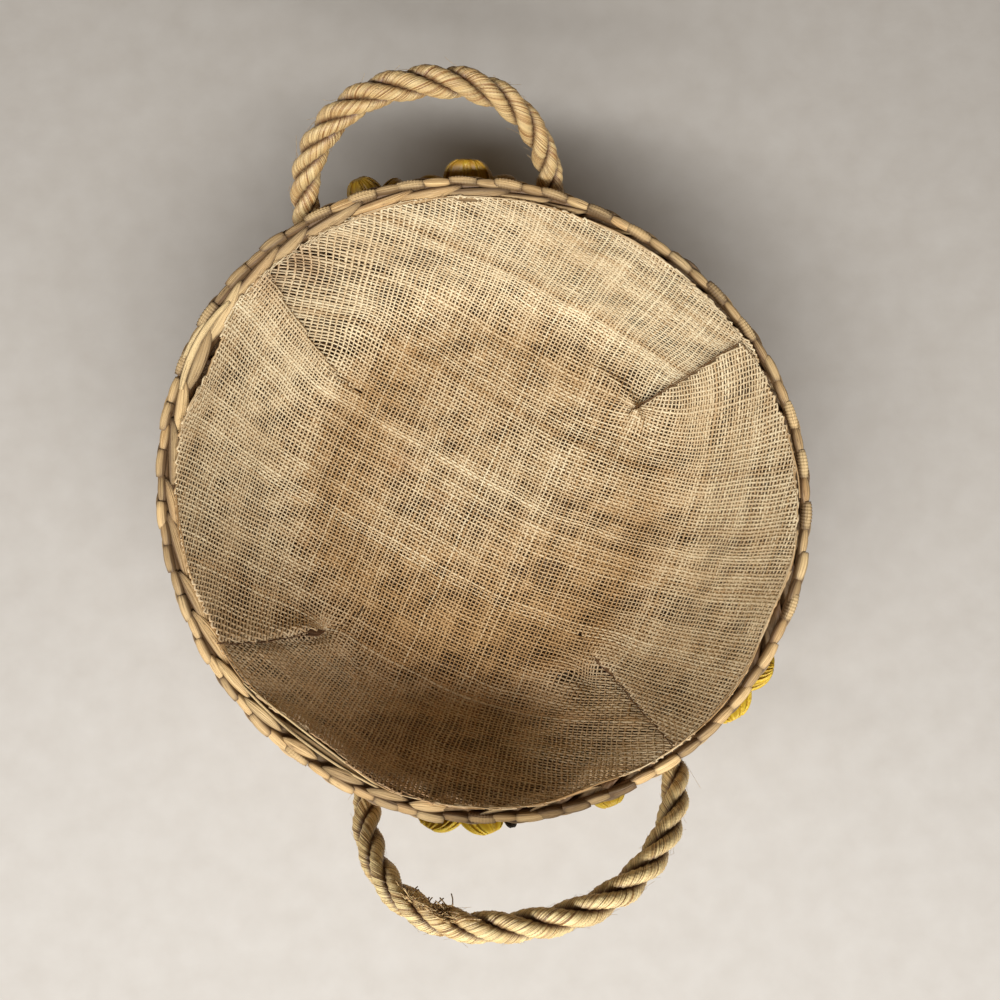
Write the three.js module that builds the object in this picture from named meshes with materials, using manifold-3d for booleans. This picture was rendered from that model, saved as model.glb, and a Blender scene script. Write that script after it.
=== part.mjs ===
// A casserole carrier basket: rounds of flat three-strand straw plait sewn into an open bowl, an open-weave
// cloth lining taken in with four darts, two laid-rope handles lashed to the wall, and puffed raffia flowers
// under the rim. Millimetres and degrees, +Z up, origin in the middle of the underside, rear handle at +Y.
import * as THREE from "three";
import { mergeVertices } from "three/addons/utils/BufferGeometryUtils.js";
import Module from "manifold-3d";

const wasm = await Module();
wasm.setup();

// Clearance between pieces that are sewn, tied or laid against each other
const SEAT = 0.35;

// Flat three-strand plait
const PLAIT_WIDTH = 22.5;
const PLAIT_THICKNESS = 8.5;
const PLAIT_LOOP = 22.5; // along an edge, from one strand's loop to the next
const PLAIT_RELIEF = 1.6; // step from a strand down to the one that it crosses

// Bowl, with radii to the middle of the plait
const RIM_RADIUS = 146;
const FOOT_RADIUS = 112;
const WALL_ROUNDS = 4;
const WALL_BELLY = 7; // the first round leans this much more than the mean, and the rim this much less
const BASE_ROUNDS = 4;
const BASE_START_RADIUS = 12; // folded start of the plait in the middle of the base

// Cloth lining
const CLOTH_THICKNESS = 1.1;
const CLOTH_HEM_DROP = 4; // from the rim's crest down to the cloth's raw edge
const CLOTH_SLACK = 2.5; // how far the cloth hangs clear of the wall at mid height
const CLOTH_BEND_RISE = 24; // where the cloth leaves the wall, measured up the wall from the foot
const CLOTH_BEND_REACH = 22; // where the cloth meets the base, measured in from the wall's foot
// Each dart, with the side on which its fold stands: -1 clockwise, 1 anticlockwise, seen from above
const DARTS = [
  { azimuth: 21, side: -1 },
  { azimuth: 127, side: 1 },
  { azimuth: 205, side: -1 },
  { azimuth: 294, side: 1 },
];
const DART_DEPTH = 5;
const DART_WIDTH = 9; // rising side of the fold
const DART_STEP = 1.4; // steep side of the fold
const CLOTH_SPOKES = 30;
const CLOTH_WALL_STEPS = 4;
const CLOTH_BEND_STEPS = 3;
const CLOTH_FLOOR_STEPS = 3;
const DART_SHOULDER = 0.75; // share of a dart's depth a third of its width from the crease
const DART_START = 0.35; // share of a dart's depth at the raw edge
const DART_END = 0.7; // and where the cloth meets the base

// Laid rope
const ROPE_RADIUS = 6.5;
const ROPE_STRANDS = 3;
const ROPE_LAY = 54; // one full turn of a strand
const ROPE_LOBE = 0.14; // depth of the furrows between strands, as a share of the rope's radius
const ROPE_STEP = 6.5;

// Rope handles: half the distance between the feet, height of the arch and how far its top leans to one side
const HANDLES = [
  { name: "rear", azimuth: 91.3, halfSpan: 59, rise: 73.5, sway: -5 },
  { name: "front", azimuth: 268.7, halfSpan: 74, rise: 84.5, sway: -6 },
];
const ARCH_FULLNESS = 2.3; // exponent of the arch's superellipse
const ARCH_POINTS = 40;
const HANDLE_LEAN = 32; // outward from upright, as the handles stand
const HANDLE_FOOT_RISE = 66; // where the rope bends, measured up the wall from the foot
const TAIL_LENGTH = 26; // lashed end of the rope, below the bend
const TAIL_FLARE = 1.5; // how far the cut end spreads
const TAIL_FLARE_LENGTH = 7;
const LASHING_THICKNESS = 1.6;
const LASHING_WIDTH = 11;
const LASHING_DROP = 4; // from the tail's top to the lashing

// Raffia flowers, each placed beside a rope foot
const FLOWER_RISE = 59; // middle of a flower, measured up the wall from the foot
const PETALS = 5;
const PETAL_TILT = 34; // tips lift off the wall
const LARGE = { ring: 15, length: 27, width: 24, thickness: 13, centre: 8, centreHeight: 15 };
const SMALL = { ring: 11, length: 21, width: 18, thickness: 11, centre: 6, centreHeight: 12 };
const FLOWERS = [
  { name: "rear_right", foot: "rear_right", side: 1, gap: 1, turn: 90, size: LARGE },
  { name: "rear_left", foot: "rear_left", side: -1, gap: 1, turn: 110, size: SMALL },
  { name: "front_left", foot: "front_left", side: 1, gap: 6.5, turn: 54, size: LARGE },
  { name: "front_right", foot: "front_right", side: -1, gap: 4, turn: 90, size: SMALL },
  { name: "side_right", foot: "front_right", side: 1, gap: 7, turn: 54, size: LARGE },
];
const LEAF = { flower: "front_left", across: 25.5, up: 15, length: 19, width: 7, thickness: 4, turn: 80 };

// Facets of the round pieces
const START_SIDES = 18;
const TAIL_SIDES = 12;
const LASHING_SEGMENTS = 9;
const PUFF_SIDES = 10;
const PUFF_RINGS = 6;
const ROPE_END_RINGS = [0.5, 0.86, 1]; // along a rope's rounded end, as shares of its radius

const straw = new THREE.MeshStandardMaterial({ color: 0xbd9f73, roughness: 0.75, metalness: 0 });
const cloth = new THREE.MeshStandardMaterial({ color: 0xc9b186, roughness: 0.9, metalness: 0 });
const rope = new THREE.MeshStandardMaterial({ color: 0xc09a5c, roughness: 0.8, metalness: 0 });
const cord = new THREE.MeshStandardMaterial({ color: 0xbb9b66, roughness: 0.85, metalness: 0 });
const raffia = new THREE.MeshStandardMaterial({ color: 0xd3a424, roughness: 0.55, metalness: 0 });
const darkRaffia = new THREE.MeshStandardMaterial({ color: 0x2b2119, roughness: 0.6, metalness: 0 });

const radians = THREE.MathUtils.degToRad;
const degrees = THREE.MathUtils.radToDeg;
const basket = new THREE.Group();

function addPiece(name, geometry, material, parent = basket) {
  const piece = new THREE.Mesh(geometry, material);
  piece.name = name;
  parent.add(piece);
  return piece;
}

// A surface through rows of points. Each row is closed on itself and runs counter-clockwise about the way to
// the next, and a row of one point closes an end.
function loft(rows, joinEnds) {
  const points = rows.flat();
  const starts = [];
  let count = 0;
  for (const row of rows) {
    starts.push(count);
    count += row.length;
  }
  const faces = [];
  const last = joinEnds ? rows.length : rows.length - 1;
  for (let i = 0; i < last; i++) {
    const next = (i + 1) % rows.length;
    const [m, n] = [rows[i].length, rows[next].length];
    for (let j = 0; j < Math.max(m, n); j++) {
      const a = starts[i] + (j % m);
      const b = starts[next] + (j % n);
      const c = starts[next] + ((j + 1) % n);
      const d = starts[i] + ((j + 1) % m);
      if (n > 1) faces.push(a, c, b);
      if (m > 1) faces.push(a, d, c);
    }
  }
  const geometry = new THREE.BufferGeometry();
  const numbers = points.flatMap((p) => [p.x, p.y, p.z]);
  geometry.setAttribute("position", new THREE.Float32BufferAttribute(numbers, 3));
  geometry.setIndex(faces);
  geometry.computeVertexNormals();
  return geometry;
}

// A geometry as a solid that can be joined and cut, and back again
function solidOf(geometry) {
  const bare = geometry.clone();
  bare.deleteAttribute("normal");
  bare.deleteAttribute("uv");
  const merged = mergeVertices(bare, 1e-4);
  const vertProperties = merged.attributes.position.array;
  const triVerts = Uint32Array.from(merged.index.array);
  return new wasm.Manifold(new wasm.Mesh({ numProp: 3, vertProperties, triVerts }));
}

function geometryOf(solid) {
  const mesh = solid.getMesh();
  const geometry = new THREE.BufferGeometry();
  geometry.setAttribute("position", new THREE.BufferAttribute(mesh.vertProperties, 3));
  geometry.setIndex(new THREE.BufferAttribute(mesh.triVerts, 1));
  geometry.computeVertexNormals();
  return geometry;
}

// The wall's rounds: each has a lean, and the radius and height of the middle of its lower edge
const roundPitch = PLAIT_WIDTH + SEAT;
const edgeHalf = PLAIT_THICKNESS / 4;

function wallRounds() {
  const offLeans = [];
  for (let i = 0; i < WALL_ROUNDS; i++) {
    offLeans.push(radians(WALL_BELLY) * (1 - (2 * i) / (WALL_ROUNDS - 1)));
  }
  const reach = roundPitch * offLeans.reduce((sum, off) => sum + Math.cos(off), 0);
  const meanLean = Math.asin((RIM_RADIUS - FOOT_RADIUS) / reach);
  let radius = FOOT_RADIUS;
  let height = SEAT + edgeHalf * Math.sin(meanLean + offLeans[0]);
  return offLeans.map((off) => {
    const round = { lean: meanLean + off, radius, height };
    radius += roundPitch * Math.sin(round.lean);
    height += roundPitch * Math.cos(round.lean);
    return round;
  });
}

const rounds = wallRounds();
const wallLength = WALL_ROUNDS * roundPitch - SEAT;

// Radius, height and lean at a distance up the wall, and outward from the middle of the plait
function wallPlace(up, out) {
  const i = THREE.MathUtils.clamp(Math.floor(up / roundPitch), 0, WALL_ROUNDS - 1);
  const { lean, radius, height } = rounds[i];
  const rest = up - i * roundPitch;
  return {
    lean,
    radius: radius + rest * Math.sin(lean) + out * Math.cos(lean),
    height: height + rest * Math.cos(lean) - out * Math.sin(lean),
  };
}

// Turns an object so that X runs round the wall, Y up it and Z out of it, at an azimuth in degrees
function placeOnWall(object, azimuth, up, out) {
  const { lean, radius, height } = wallPlace(up, out);
  const away = new THREE.Vector3(Math.cos(radians(azimuth)), Math.sin(radians(azimuth)), 0);
  const upright = new THREE.Vector3(0, 0, 1);
  const upWall = away.clone().multiplyScalar(Math.sin(lean)).addScaledVector(upright, Math.cos(lean));
  const outWall = away.clone().multiplyScalar(Math.cos(lean)).addScaledVector(upright, -Math.sin(lean));
  const around = upWall.clone().cross(outWall);
  object.quaternion.setFromRotationMatrix(new THREE.Matrix4().makeBasis(around, upWall, outWall));
  object.position.copy(away).multiplyScalar(radius).setZ(height);
}

// Corners of the plait's section: across its width from 0 to 1, and through its thickness from -1 to 1
const PLAIT_SECTION = [
  [0, -0.5],
  [0.25, -1],
  [0.75, -1],
  [1, -0.5],
  [1, 0.5],
  [0.75, 1],
  [0.25, 1],
  [0, 0.5],
];

// One round of plait: at each half loop the strands of one edge stand proud of those of the other edge.
// place(across, through, stations) gives the radius and height of a corner, both in millimetres.
function plaitRound(midRadius, width, place) {
  const stations = 2 * Math.round((2 * Math.PI * midRadius) / PLAIT_LOOP);
  const rows = [];
  for (let k = 0; k < stations; k++) {
    const azimuth = (2 * Math.PI * k) / stations;
    rows.push(
      PLAIT_SECTION.map(([share, side]) => {
        const step = (share > 0.5) === (k % 2 === 1) ? 0 : PLAIT_RELIEF;
        const edgeStep = share === 0 ? step : share === 1 ? -step : 0;
        const through = side * (PLAIT_THICKNESS / 2 - step);
        const { radius, height } = place(share * width + edgeStep, through, stations);
        return new THREE.Vector3(radius * Math.cos(azimuth), radius * Math.sin(azimuth), height);
      }),
    );
  }
  return loft(rows, true);
}

function addWall() {
  rounds.forEach((round, i) => {
    const midRadius = wallPlace((i + 0.5) * roundPitch, 0).radius;
    const geometry = plaitRound(midRadius, PLAIT_WIDTH, (across, through) => ({
      radius: round.radius + across * Math.sin(round.lean) + through * Math.cos(round.lean),
      height: round.height + across * Math.cos(round.lean) - through * Math.sin(round.lean),
    }));
    addPiece(i === WALL_ROUNDS - 1 ? "rim_round" : `wall_round_${i + 1}`, geometry, straw);
  });
}

// The base: rounds laid flat about the plait's folded start, worn level underneath
const baseRadius = FOOT_RADIUS - edgeHalf - SEAT;

function addBase() {
  const pitch = (baseRadius - BASE_START_RADIUS) / BASE_ROUNDS;
  const width = pitch - SEAT;
  for (let i = 0; i < BASE_ROUNDS; i++) {
    const outer = BASE_START_RADIUS + (i + 1) * pitch;
    const geometry = plaitRound(outer - width / 2, width, (across, through, stations) => {
      const facetSag = across > width / 2 ? 1 / Math.cos(Math.PI / stations) : 1;
      const level = Math.max(PLAIT_THICKNESS / 2 + through, 0);
      return { radius: (outer - across) * facetSag, height: through < -edgeHalf ? 0 : level };
    });
    addPiece(`base_round_${i + 1}`, geometry, straw);
  }
  const start = [
    new THREE.Vector2(0, 0),
    new THREE.Vector2(BASE_START_RADIUS - edgeHalf, 0),
    new THREE.Vector2(BASE_START_RADIUS, edgeHalf),
    new THREE.Vector2(BASE_START_RADIUS, PLAIT_THICKNESS - edgeHalf),
    new THREE.Vector2(BASE_START_RADIUS - edgeHalf, PLAIT_THICKNESS),
    new THREE.Vector2(0, PLAIT_THICKNESS),
  ];
  const button = new THREE.LatheGeometry(start, START_SIDES);
  button.rotateX(Math.PI / 2);
  addPiece("base_start", button, straw);
}

// The lining's outer face from its raw edge to the middle, with each point's share of the darts' depth
function clothProfile() {
  const wallFace = PLAIT_THICKNESS / 2 + SEAT;
  const top = wallLength - CLOTH_HEM_DROP;
  const points = [];
  for (let i = 0; i <= CLOTH_WALL_STEPS; i++) {
    const share = i / CLOTH_WALL_STEPS;
    const slack = CLOTH_SLACK * Math.sin((Math.PI / 2) * share);
    const { radius, height } = wallPlace(top + (CLOTH_BEND_RISE - top) * share, -wallFace - slack);
    points.push({ at: new THREE.Vector2(radius, height), dart: THREE.MathUtils.lerp(DART_START, 1, share) });
  }
  const floor = PLAIT_THICKNESS + SEAT;
  const from = points[CLOTH_WALL_STEPS].at;
  const corner = new THREE.Vector2(baseRadius - CLOTH_SLACK, floor);
  const to = new THREE.Vector2(baseRadius - CLOTH_BEND_REACH, floor);
  const bend = new THREE.QuadraticBezierCurve(from, corner, to);
  for (let i = 1; i <= CLOTH_BEND_STEPS; i++) {
    const share = i / CLOTH_BEND_STEPS;
    points.push({ at: bend.getPoint(share), dart: THREE.MathUtils.lerp(1, DART_END, share) });
  }
  for (let i = 1; i <= CLOTH_FLOOR_STEPS; i++) {
    points.push({ at: new THREE.Vector2(to.x * (1 - i / CLOTH_FLOOR_STEPS), floor), dart: 0 });
  }
  return points;
}

// Inward normal of the profile at each of its points
function inwardNormals(points) {
  return points.map((point, i) => {
    const before = points[Math.max(i - 1, 0)].at;
    const after = points[Math.min(i + 1, points.length - 1)].at;
    const along = after.clone().sub(before).normalize();
    const normal = new THREE.Vector2(along.y, -along.x);
    return i === points.length - 1 ? new THREE.Vector2(0, 1) : normal;
  });
}

// Azimuths of the lining's spokes, close together at each dart, with the share of the fold's height at each
function clothSpokes() {
  const spokes = [];
  for (const { azimuth, side } of DARTS) {
    spokes.push({ azimuth: azimuth + side * DART_WIDTH, fold: 0 });
    spokes.push({ azimuth: azimuth + (side * DART_WIDTH) / 3, fold: DART_SHOULDER });
    spokes.push({ azimuth, fold: 1 });
    spokes.push({ azimuth: azimuth - side * DART_STEP, fold: 0 });
  }
  const spacing = 360 / CLOTH_SPOKES;
  for (let i = 0; i < CLOTH_SPOKES; i++) {
    const azimuth = i * spacing;
    const clear = DARTS.every((dart) => {
      const off = dart.side * (((azimuth - dart.azimuth + 540) % 360) - 180);
      return off > DART_WIDTH + spacing / 3 || off < -DART_STEP - spacing / 3;
    });
    if (clear) spokes.push({ azimuth, fold: 0 });
  }
  return spokes.sort((a, b) => a.azimuth - b.azimuth);
}

function addLining() {
  const profile = clothProfile();
  const normals = inwardNormals(profile);
  const spokes = clothSpokes();
  const row = (i, offset) => {
    const { at, dart } = profile[i];
    if (at.x === 0) return [new THREE.Vector3(0, 0, at.y + offset)];
    return spokes.map(({ azimuth, fold }) => {
      const moved = at.clone().addScaledVector(normals[i], offset + DART_DEPTH * dart * fold);
      const turn = radians(azimuth);
      return new THREE.Vector3(moved.x * Math.cos(turn), moved.x * Math.sin(turn), moved.y);
    });
  };
  const order = profile.map((point, i) => i);
  const outerRows = order.map((i) => row(i, 0)).reverse();
  const innerRows = order.map((i) => row(i, CLOTH_THICKNESS));
  addPiece("lining", loft([...outerRows, ...innerRows], false), cloth);
}

// Where the rope bends out of its lashing
const footOut = PLAIT_THICKNESS / 2 + 2 * SEAT + LASHING_THICKNESS + ROPE_RADIUS;
const foot = wallPlace(HANDLE_FOOT_RISE, footOut);
const feet = {};

// The arch of a handle in its own plane: X along the chord between its feet, Y up
function archPoint({ halfSpan, rise, sway }, turn) {
  const power = 2 / ARCH_FULLNESS;
  const [c, s] = [Math.cos(turn), Math.sin(turn)];
  const up = rise * Math.abs(s) ** power;
  return new THREE.Vector3(halfSpan * Math.sign(c) * Math.abs(c) ** power + (sway * up) / rise, up, 0);
}

function archCurve(handle) {
  const points = [];
  for (let i = 0; i <= ARCH_POINTS; i++) {
    points.push(archPoint(handle, (Math.PI * i) / ARCH_POINTS));
  }
  return new THREE.CatmullRomCurve3(points);
}

// Laid rope along the arch: a lobed section that turns once in each lay, with a round end at each foot
function ropeArch(handle) {
  const curve = archCurve(handle);
  const length = curve.getLength();
  const steps = Math.round(length / ROPE_STEP);
  const corners = 3 * ROPE_STRANDS;
  const across = new THREE.Vector3(0, 0, 1);
  const section = (centre, along, radius, distance) => {
    const side = new THREE.Vector3().crossVectors(across, along).normalize();
    const points = [];
    for (let j = 0; j < corners; j++) {
      const angle = (2 * Math.PI * j) / corners;
      const lobed = radius * (1 - ROPE_LOBE * (1 - Math.cos(ROPE_STRANDS * angle)));
      const turned = angle + (2 * Math.PI * distance) / ROPE_LAY;
      const corner = centre.clone().addScaledVector(side, lobed * Math.cos(turned));
      points.push(corner.addScaledVector(across, lobed * Math.sin(turned)));
    }
    return points;
  };
  const rows = [];
  const roundEnd = (share, down) => {
    const along = curve.getTangentAt(share);
    const centre = curve.getPointAt(share).addScaledVector(along, (share ? 1 : -1) * down * ROPE_RADIUS);
    if (down === 1) return [centre];
    return section(centre, along, ROPE_RADIUS * Math.sqrt(1 - down * down), share * length);
  };
  for (const down of ROPE_END_RINGS.toReversed()) {
    rows.push(roundEnd(0, down));
  }
  for (let i = 0; i <= steps; i++) {
    const share = i / steps;
    rows.push(section(curve.getPointAt(share), curve.getTangentAt(share), ROPE_RADIUS, share * length));
  }
  for (const down of ROPE_END_RINGS) {
    rows.push(roundEnd(1, down));
  }
  return loft(rows, false);
}

// The lashed end of the rope below its bend, with a spread cut end; Y runs up the wall from the bend
function ropeTail() {
  const top = -ROPE_RADIUS - SEAT;
  const cut = top - TAIL_LENGTH;
  const profile = [
    new THREE.Vector2(0, cut),
    new THREE.Vector2(ROPE_RADIUS + TAIL_FLARE, cut),
    new THREE.Vector2(ROPE_RADIUS, cut + TAIL_FLARE_LENGTH),
    new THREE.Vector2(ROPE_RADIUS, top),
    new THREE.Vector2(0, top),
  ];
  return new THREE.LatheGeometry(profile, TAIL_SIDES);
}

// The cord bound round the rope's end and sewn flat to the wall; Y runs up the wall and Z out of it
function lashing() {
  const inner = ROPE_RADIUS + SEAT;
  const outer = inner + LASHING_THICKNESS;
  const outline = new THREE.Shape();
  outline.moveTo(-outer, -outer);
  outline.lineTo(outer, -outer);
  outline.absarc(0, 0, outer, 0, Math.PI, false);
  outline.closePath();
  const hole = new THREE.Path();
  hole.absarc(0, 0, inner, 0, 2 * Math.PI, true);
  outline.holes.push(hole);
  const settings = { depth: LASHING_WIDTH, bevelEnabled: false, curveSegments: LASHING_SEGMENTS };
  const band = new THREE.ExtrudeGeometry(outline, settings);
  band.rotateX(Math.PI / 2);
  band.translate(0, -ROPE_RADIUS - SEAT - LASHING_DROP, 0);
  return band;
}

function addHandles() {
  for (const handle of HANDLES) {
    const spread = degrees(Math.asin(handle.halfSpan / foot.radius));
    const chord = foot.radius * Math.cos(radians(spread));
    const stand = new THREE.Group();
    stand.rotation.z = radians(handle.azimuth + 90);
    const leaned = new THREE.Group();
    leaned.position.set(0, -chord, foot.height);
    leaned.rotation.x = Math.PI / 2 + radians(HANDLE_LEAN);
    basket.add(stand.add(leaned));
    addPiece(`${handle.name}_rope`, ropeArch(handle), rope, leaned);
    const towardsRight = Math.sin(radians(handle.azimuth)) > 0 ? -spread : spread;
    for (const [side, off] of [["left", -towardsRight], ["right", towardsRight]]) {
      const name = `${handle.name}_${side}`;
      const azimuth = handle.azimuth + off;
      feet[name] = azimuth;
      const place = new THREE.Group();
      placeOnWall(place, azimuth, HANDLE_FOOT_RISE, footOut);
      basket.add(place);
      addPiece(`${name}_tail`, ropeTail(), rope, place);
      addPiece(`${name}_lashing`, lashing(), cord, place);
    }
  }
}

// A puffed petal as an ellipsoid lying along +X, its tip lifted and its underside on the plane z = 0
function petal({ length, width, thickness }, tilt) {
  const shape = new THREE.SphereGeometry(1, PUFF_SIDES, PUFF_RINGS);
  shape.rotateZ(Math.PI / 2);
  shape.scale(length / 2, width / 2, thickness / 2);
  shape.rotateY(-radians(tilt));
  const lift = (length / 2) * Math.sin(radians(tilt));
  const hang = Math.hypot(lift, (thickness / 2) * Math.cos(radians(tilt)));
  shape.translate(0, 0, hang);
  return shape;
}

// A domed middle whose underside is on the plane z = 0
function flowerCentre({ centre, centreHeight }, grown = 0) {
  const shape = new THREE.SphereGeometry(1, PUFF_SIDES, PUFF_RINGS);
  shape.rotateX(Math.PI / 2);
  shape.scale(centre + grown, centre + grown, centreHeight / 2 + grown);
  shape.translate(0, 0, centreHeight / 2);
  return shape;
}

function petalRing(size, turn) {
  let ring;
  for (let i = 0; i < PETALS; i++) {
    const one = petal(size, PETAL_TILT);
    one.translate(size.ring, 0, 0);
    one.rotateZ(radians(turn + (360 * i) / PETALS));
    ring = ring ? ring.add(solidOf(one)) : solidOf(one);
  }
  return geometryOf(ring.subtract(solidOf(flowerCentre(size, SEAT))));
}

function addFlowers() {
  const wallFace = PLAIT_THICKNESS / 2 + SEAT;
  const lashingHalf = ROPE_RADIUS + SEAT + LASHING_THICKNESS;
  const wallRadius = wallPlace(FLOWER_RISE, wallFace).radius;
  for (const { name, foot: footName, side, gap, turn, size } of FLOWERS) {
    const reach = size.ring + size.length / 2;
    const azimuth = feet[footName] + side * degrees((lashingHalf + gap + reach) / wallRadius);
    const flower = new THREE.Group();
    placeOnWall(flower, azimuth, FLOWER_RISE, wallFace);
    basket.add(flower);
    addPiece(`flower_${name}_petals`, petalRing(size, turn), raffia, flower);
    addPiece(`flower_${name}_centre`, flowerCentre(size), darkRaffia, flower);
    if (name === LEAF.flower) addLeaf(azimuth + degrees(LEAF.across / wallRadius));
  }
}

// A narrow dark leaf on the wall beside a flower
function addLeaf(azimuth) {
  const shape = petal(LEAF, 0);
  shape.rotateZ(radians(LEAF.turn));
  const leaf = addPiece("dark_leaf", shape, darkRaffia);
  placeOnWall(leaf, azimuth, FLOWER_RISE + LEAF.up, PLAIT_THICKNESS / 2 + SEAT);
}

addBase();
addWall();
addLining();
addHandles();
addFlowers();

export default basket;
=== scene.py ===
"""Looks of the casserole carrier basket: plaited straw, open-weave lining, rope handles, raffia flowers."""
from math import asin, atan2, copysign, cos, degrees, hypot, pi, radians, sin, sqrt

import bpy
import numpy as np
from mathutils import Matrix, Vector


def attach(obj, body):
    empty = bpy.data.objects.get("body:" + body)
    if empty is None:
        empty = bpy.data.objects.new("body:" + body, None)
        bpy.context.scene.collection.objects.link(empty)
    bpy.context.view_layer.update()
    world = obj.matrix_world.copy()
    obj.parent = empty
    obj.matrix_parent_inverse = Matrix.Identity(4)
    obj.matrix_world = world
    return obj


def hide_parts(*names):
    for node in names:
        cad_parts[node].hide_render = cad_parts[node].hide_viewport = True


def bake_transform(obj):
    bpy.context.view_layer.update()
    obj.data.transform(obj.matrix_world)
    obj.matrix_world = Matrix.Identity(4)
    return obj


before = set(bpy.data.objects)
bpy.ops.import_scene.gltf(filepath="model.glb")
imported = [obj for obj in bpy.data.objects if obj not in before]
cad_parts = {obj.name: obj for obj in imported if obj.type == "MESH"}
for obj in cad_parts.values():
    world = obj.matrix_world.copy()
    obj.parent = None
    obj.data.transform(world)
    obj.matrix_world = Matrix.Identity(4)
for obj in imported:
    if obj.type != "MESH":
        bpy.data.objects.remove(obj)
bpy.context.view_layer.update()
rng = np.random.default_rng(7)

# Sizes of the solid model, in millimetres and degrees
SEAT = 0.35
PLAIT_WIDTH = 22.5
PLAIT_THICKNESS = 8.5
PLAIT_LOOP = 22.5
RIM_RADIUS = 146
FOOT_RADIUS = 112
WALL_ROUNDS = 4
WALL_BELLY = 7
BASE_ROUNDS = 4
BASE_START_RADIUS = 12
CLOTH_HEM_DROP = 4
CLOTH_SLACK = 2.5
CLOTH_BEND_RISE = 24
CLOTH_BEND_REACH = 22
ROPE_RADIUS = 6.5
# The last value, painted shading, makes the rear rope darker as painted shade and the front one paler as
# painted light
HANDLES = {
    "rear": {"azimuth": 91.3, "half_span": 59, "rise": 73.5, "sway": -5, "lay": 47, "painted_shading": 0.45},
    "front": {"azimuth": 268.7, "half_span": 74, "rise": 84.5, "sway": -6, "lay": 54, "painted_shading": -1.0},
}
ARCH_FULLNESS = 2.3
HANDLE_LEAN = 32
HANDLE_FOOT_RISE = 66
TAIL_LENGTH = 26
LASHING_THICKNESS = 1.6
LASHING_WIDTH = 11
LASHING_DROP = 4
FLOWER_RISE = 59
PETALS = 5
PETAL_TILT = 34
LARGE = {"ring": 15, "length": 27, "width": 24, "thickness": 13, "centre": 8, "height": 15}
SMALL = {"ring": 11, "length": 21, "width": 18, "thickness": 11, "centre": 6, "height": 12}
# Each flower's rope foot, side of it and gap from it, turn and size. Then how thick its raffia is beside
# the solid petals, how much darker it is painted as painted shade, and how far it has slipped round
FLOWERS = {
    "rear_right": ("rear_right", 1, 1, 90, LARGE, 0.72, 0.6, 1),
    "rear_left": ("rear_left", -1, 1, 110, SMALL, 1.25, 0.5, -26),
    "front_left": ("front_left", 1, 6.5, 54, LARGE, 0.54, 0.0, 0),
    "front_right": ("front_right", -1, 4, 90, SMALL, 0.74, 0.0, 0),
    "side_right": ("front_right", 1, 7, 54, LARGE, 0.4, 0.0, 0),
}
LEAF = {"ring": 0, "across": 25.5, "up": 15, "length": 19, "width": 7, "thickness": 4, "turn": 80}
LEAF_FLOWER = "front_left"
LEAF_TILT = 12  # its tip stands off the wall
LEAF_SLIP = -4

# The bowl is a little out of round, as hand-sewn ones are
OVAL = -3.55
LOBES = 1.37
FLARE = 3.0  # and its mouth has spread
FLARE_FADE = (152, 180)  # which the tops of the handles don't follow
WARP_HEIGHT = 86  # all this is whole from this height up
WARP_RADIUS = 100  # and from this radius out

MM = 0.001
TAU = 2 * pi
EDGE_SHADE = 1.4  # ribbons are painted darker along their edges, as painted shade in the gaps between them
END_SHADE = 1.1  # and at their ends, also painted shade
GRAIN_SHIFT = 90  # strands and threads lie at random places in the grain's pattern, up to this
RIBBON_POWER = 0.75  # how square the corners of a ribbon are


def smooth(x, low, high):
    """A soft step from 0 at low to 1 at high."""
    t = np.clip((x - low) / (high - low), 0, 1)
    return t * t * (3 - 2 * t)


def unit(v):
    return v / np.maximum(np.linalg.norm(v, axis=-1, keepdims=True), 1e-12)


def three(values, t):
    """A smooth curve through a first, a middle and a last value."""
    a, b, c = values
    return a * (2 * t - 1) * (t - 1) + b * 4 * t * (1 - t) + c * t * (2 * t - 1)


def turns(count):
    """Evenly spaced angles over a full turn."""
    return np.arange(count) / count * TAU


def grid_of(*values):
    """Three values of each point of a grid, side by side."""
    return np.stack(np.broadcast_arrays(*values), -1)


def flat_place(radius, azimuth):
    """x and y at radii and azimuths in radians."""
    return radius * np.cos(azimuth), radius * np.sin(azimuth)


def around(radius, height, azimuth):
    """Points at a radius, a height and an azimuth in radians."""
    return grid_of(*flat_place(radius, azimuth), height)


def in_frame(origin, axes, *places):
    """Points at distances along three axes from an origin."""
    for axis, place in zip(axes, places):
        origin = origin + place[..., None] * axis
    return origin


def polar(azimuth, away):
    """x and y of one place at an azimuth in degrees and a distance from the middle."""
    a = radians(azimuth)
    return away * cos(a), away * sin(a)


def warp(p):
    """Points of a true round bowl, pushed out of round towards the rim."""
    azimuth = np.arctan2(p[..., 1], p[..., 0])
    away = np.hypot(p[..., 0], p[..., 1])
    push = OVAL * np.sin(2 * azimuth) + LOBES * np.cos(3 * azimuth)
    push = push + FLARE * (1 - smooth(away, *FLARE_FADE))
    share = np.clip(p[..., 2] / WARP_HEIGHT, 0, 1) * np.clip(away / WARP_RADIUS, 0, 1)
    return p + around(push * share, 0, azimuth)


def wander(t, waves, size, speed=1):
    """A smooth random line over t in radians that closes after a full turn."""
    total = np.zeros_like(t)
    for k in range(1, waves + 1):
        total += rng.normal(0, 1) * np.cos(k * speed * t + rng.uniform(0, TAU))
    return size * total / sqrt(waves)


def distance(line):
    """How far along a line each of its points lies."""
    return np.concatenate([[0], np.cumsum(np.linalg.norm(np.diff(line, axis=0), axis=1))])


def even(line, step):
    """The same line with its points evenly spaced."""
    far = distance(line)
    at = np.linspace(0, far[-1], max(int(far[-1] / step), 2))
    return np.stack([np.interp(at, far, line[:, k]) for k in range(3)], -1)


def ribbon_section(corners):
    """Round-cornered flat section: across from -1 to 1 and through from -1 to 1."""
    a = turns(corners)
    return [np.sign(w) * np.abs(w) ** RIBBON_POWER for w in (np.cos(a), np.sin(a))]


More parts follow.
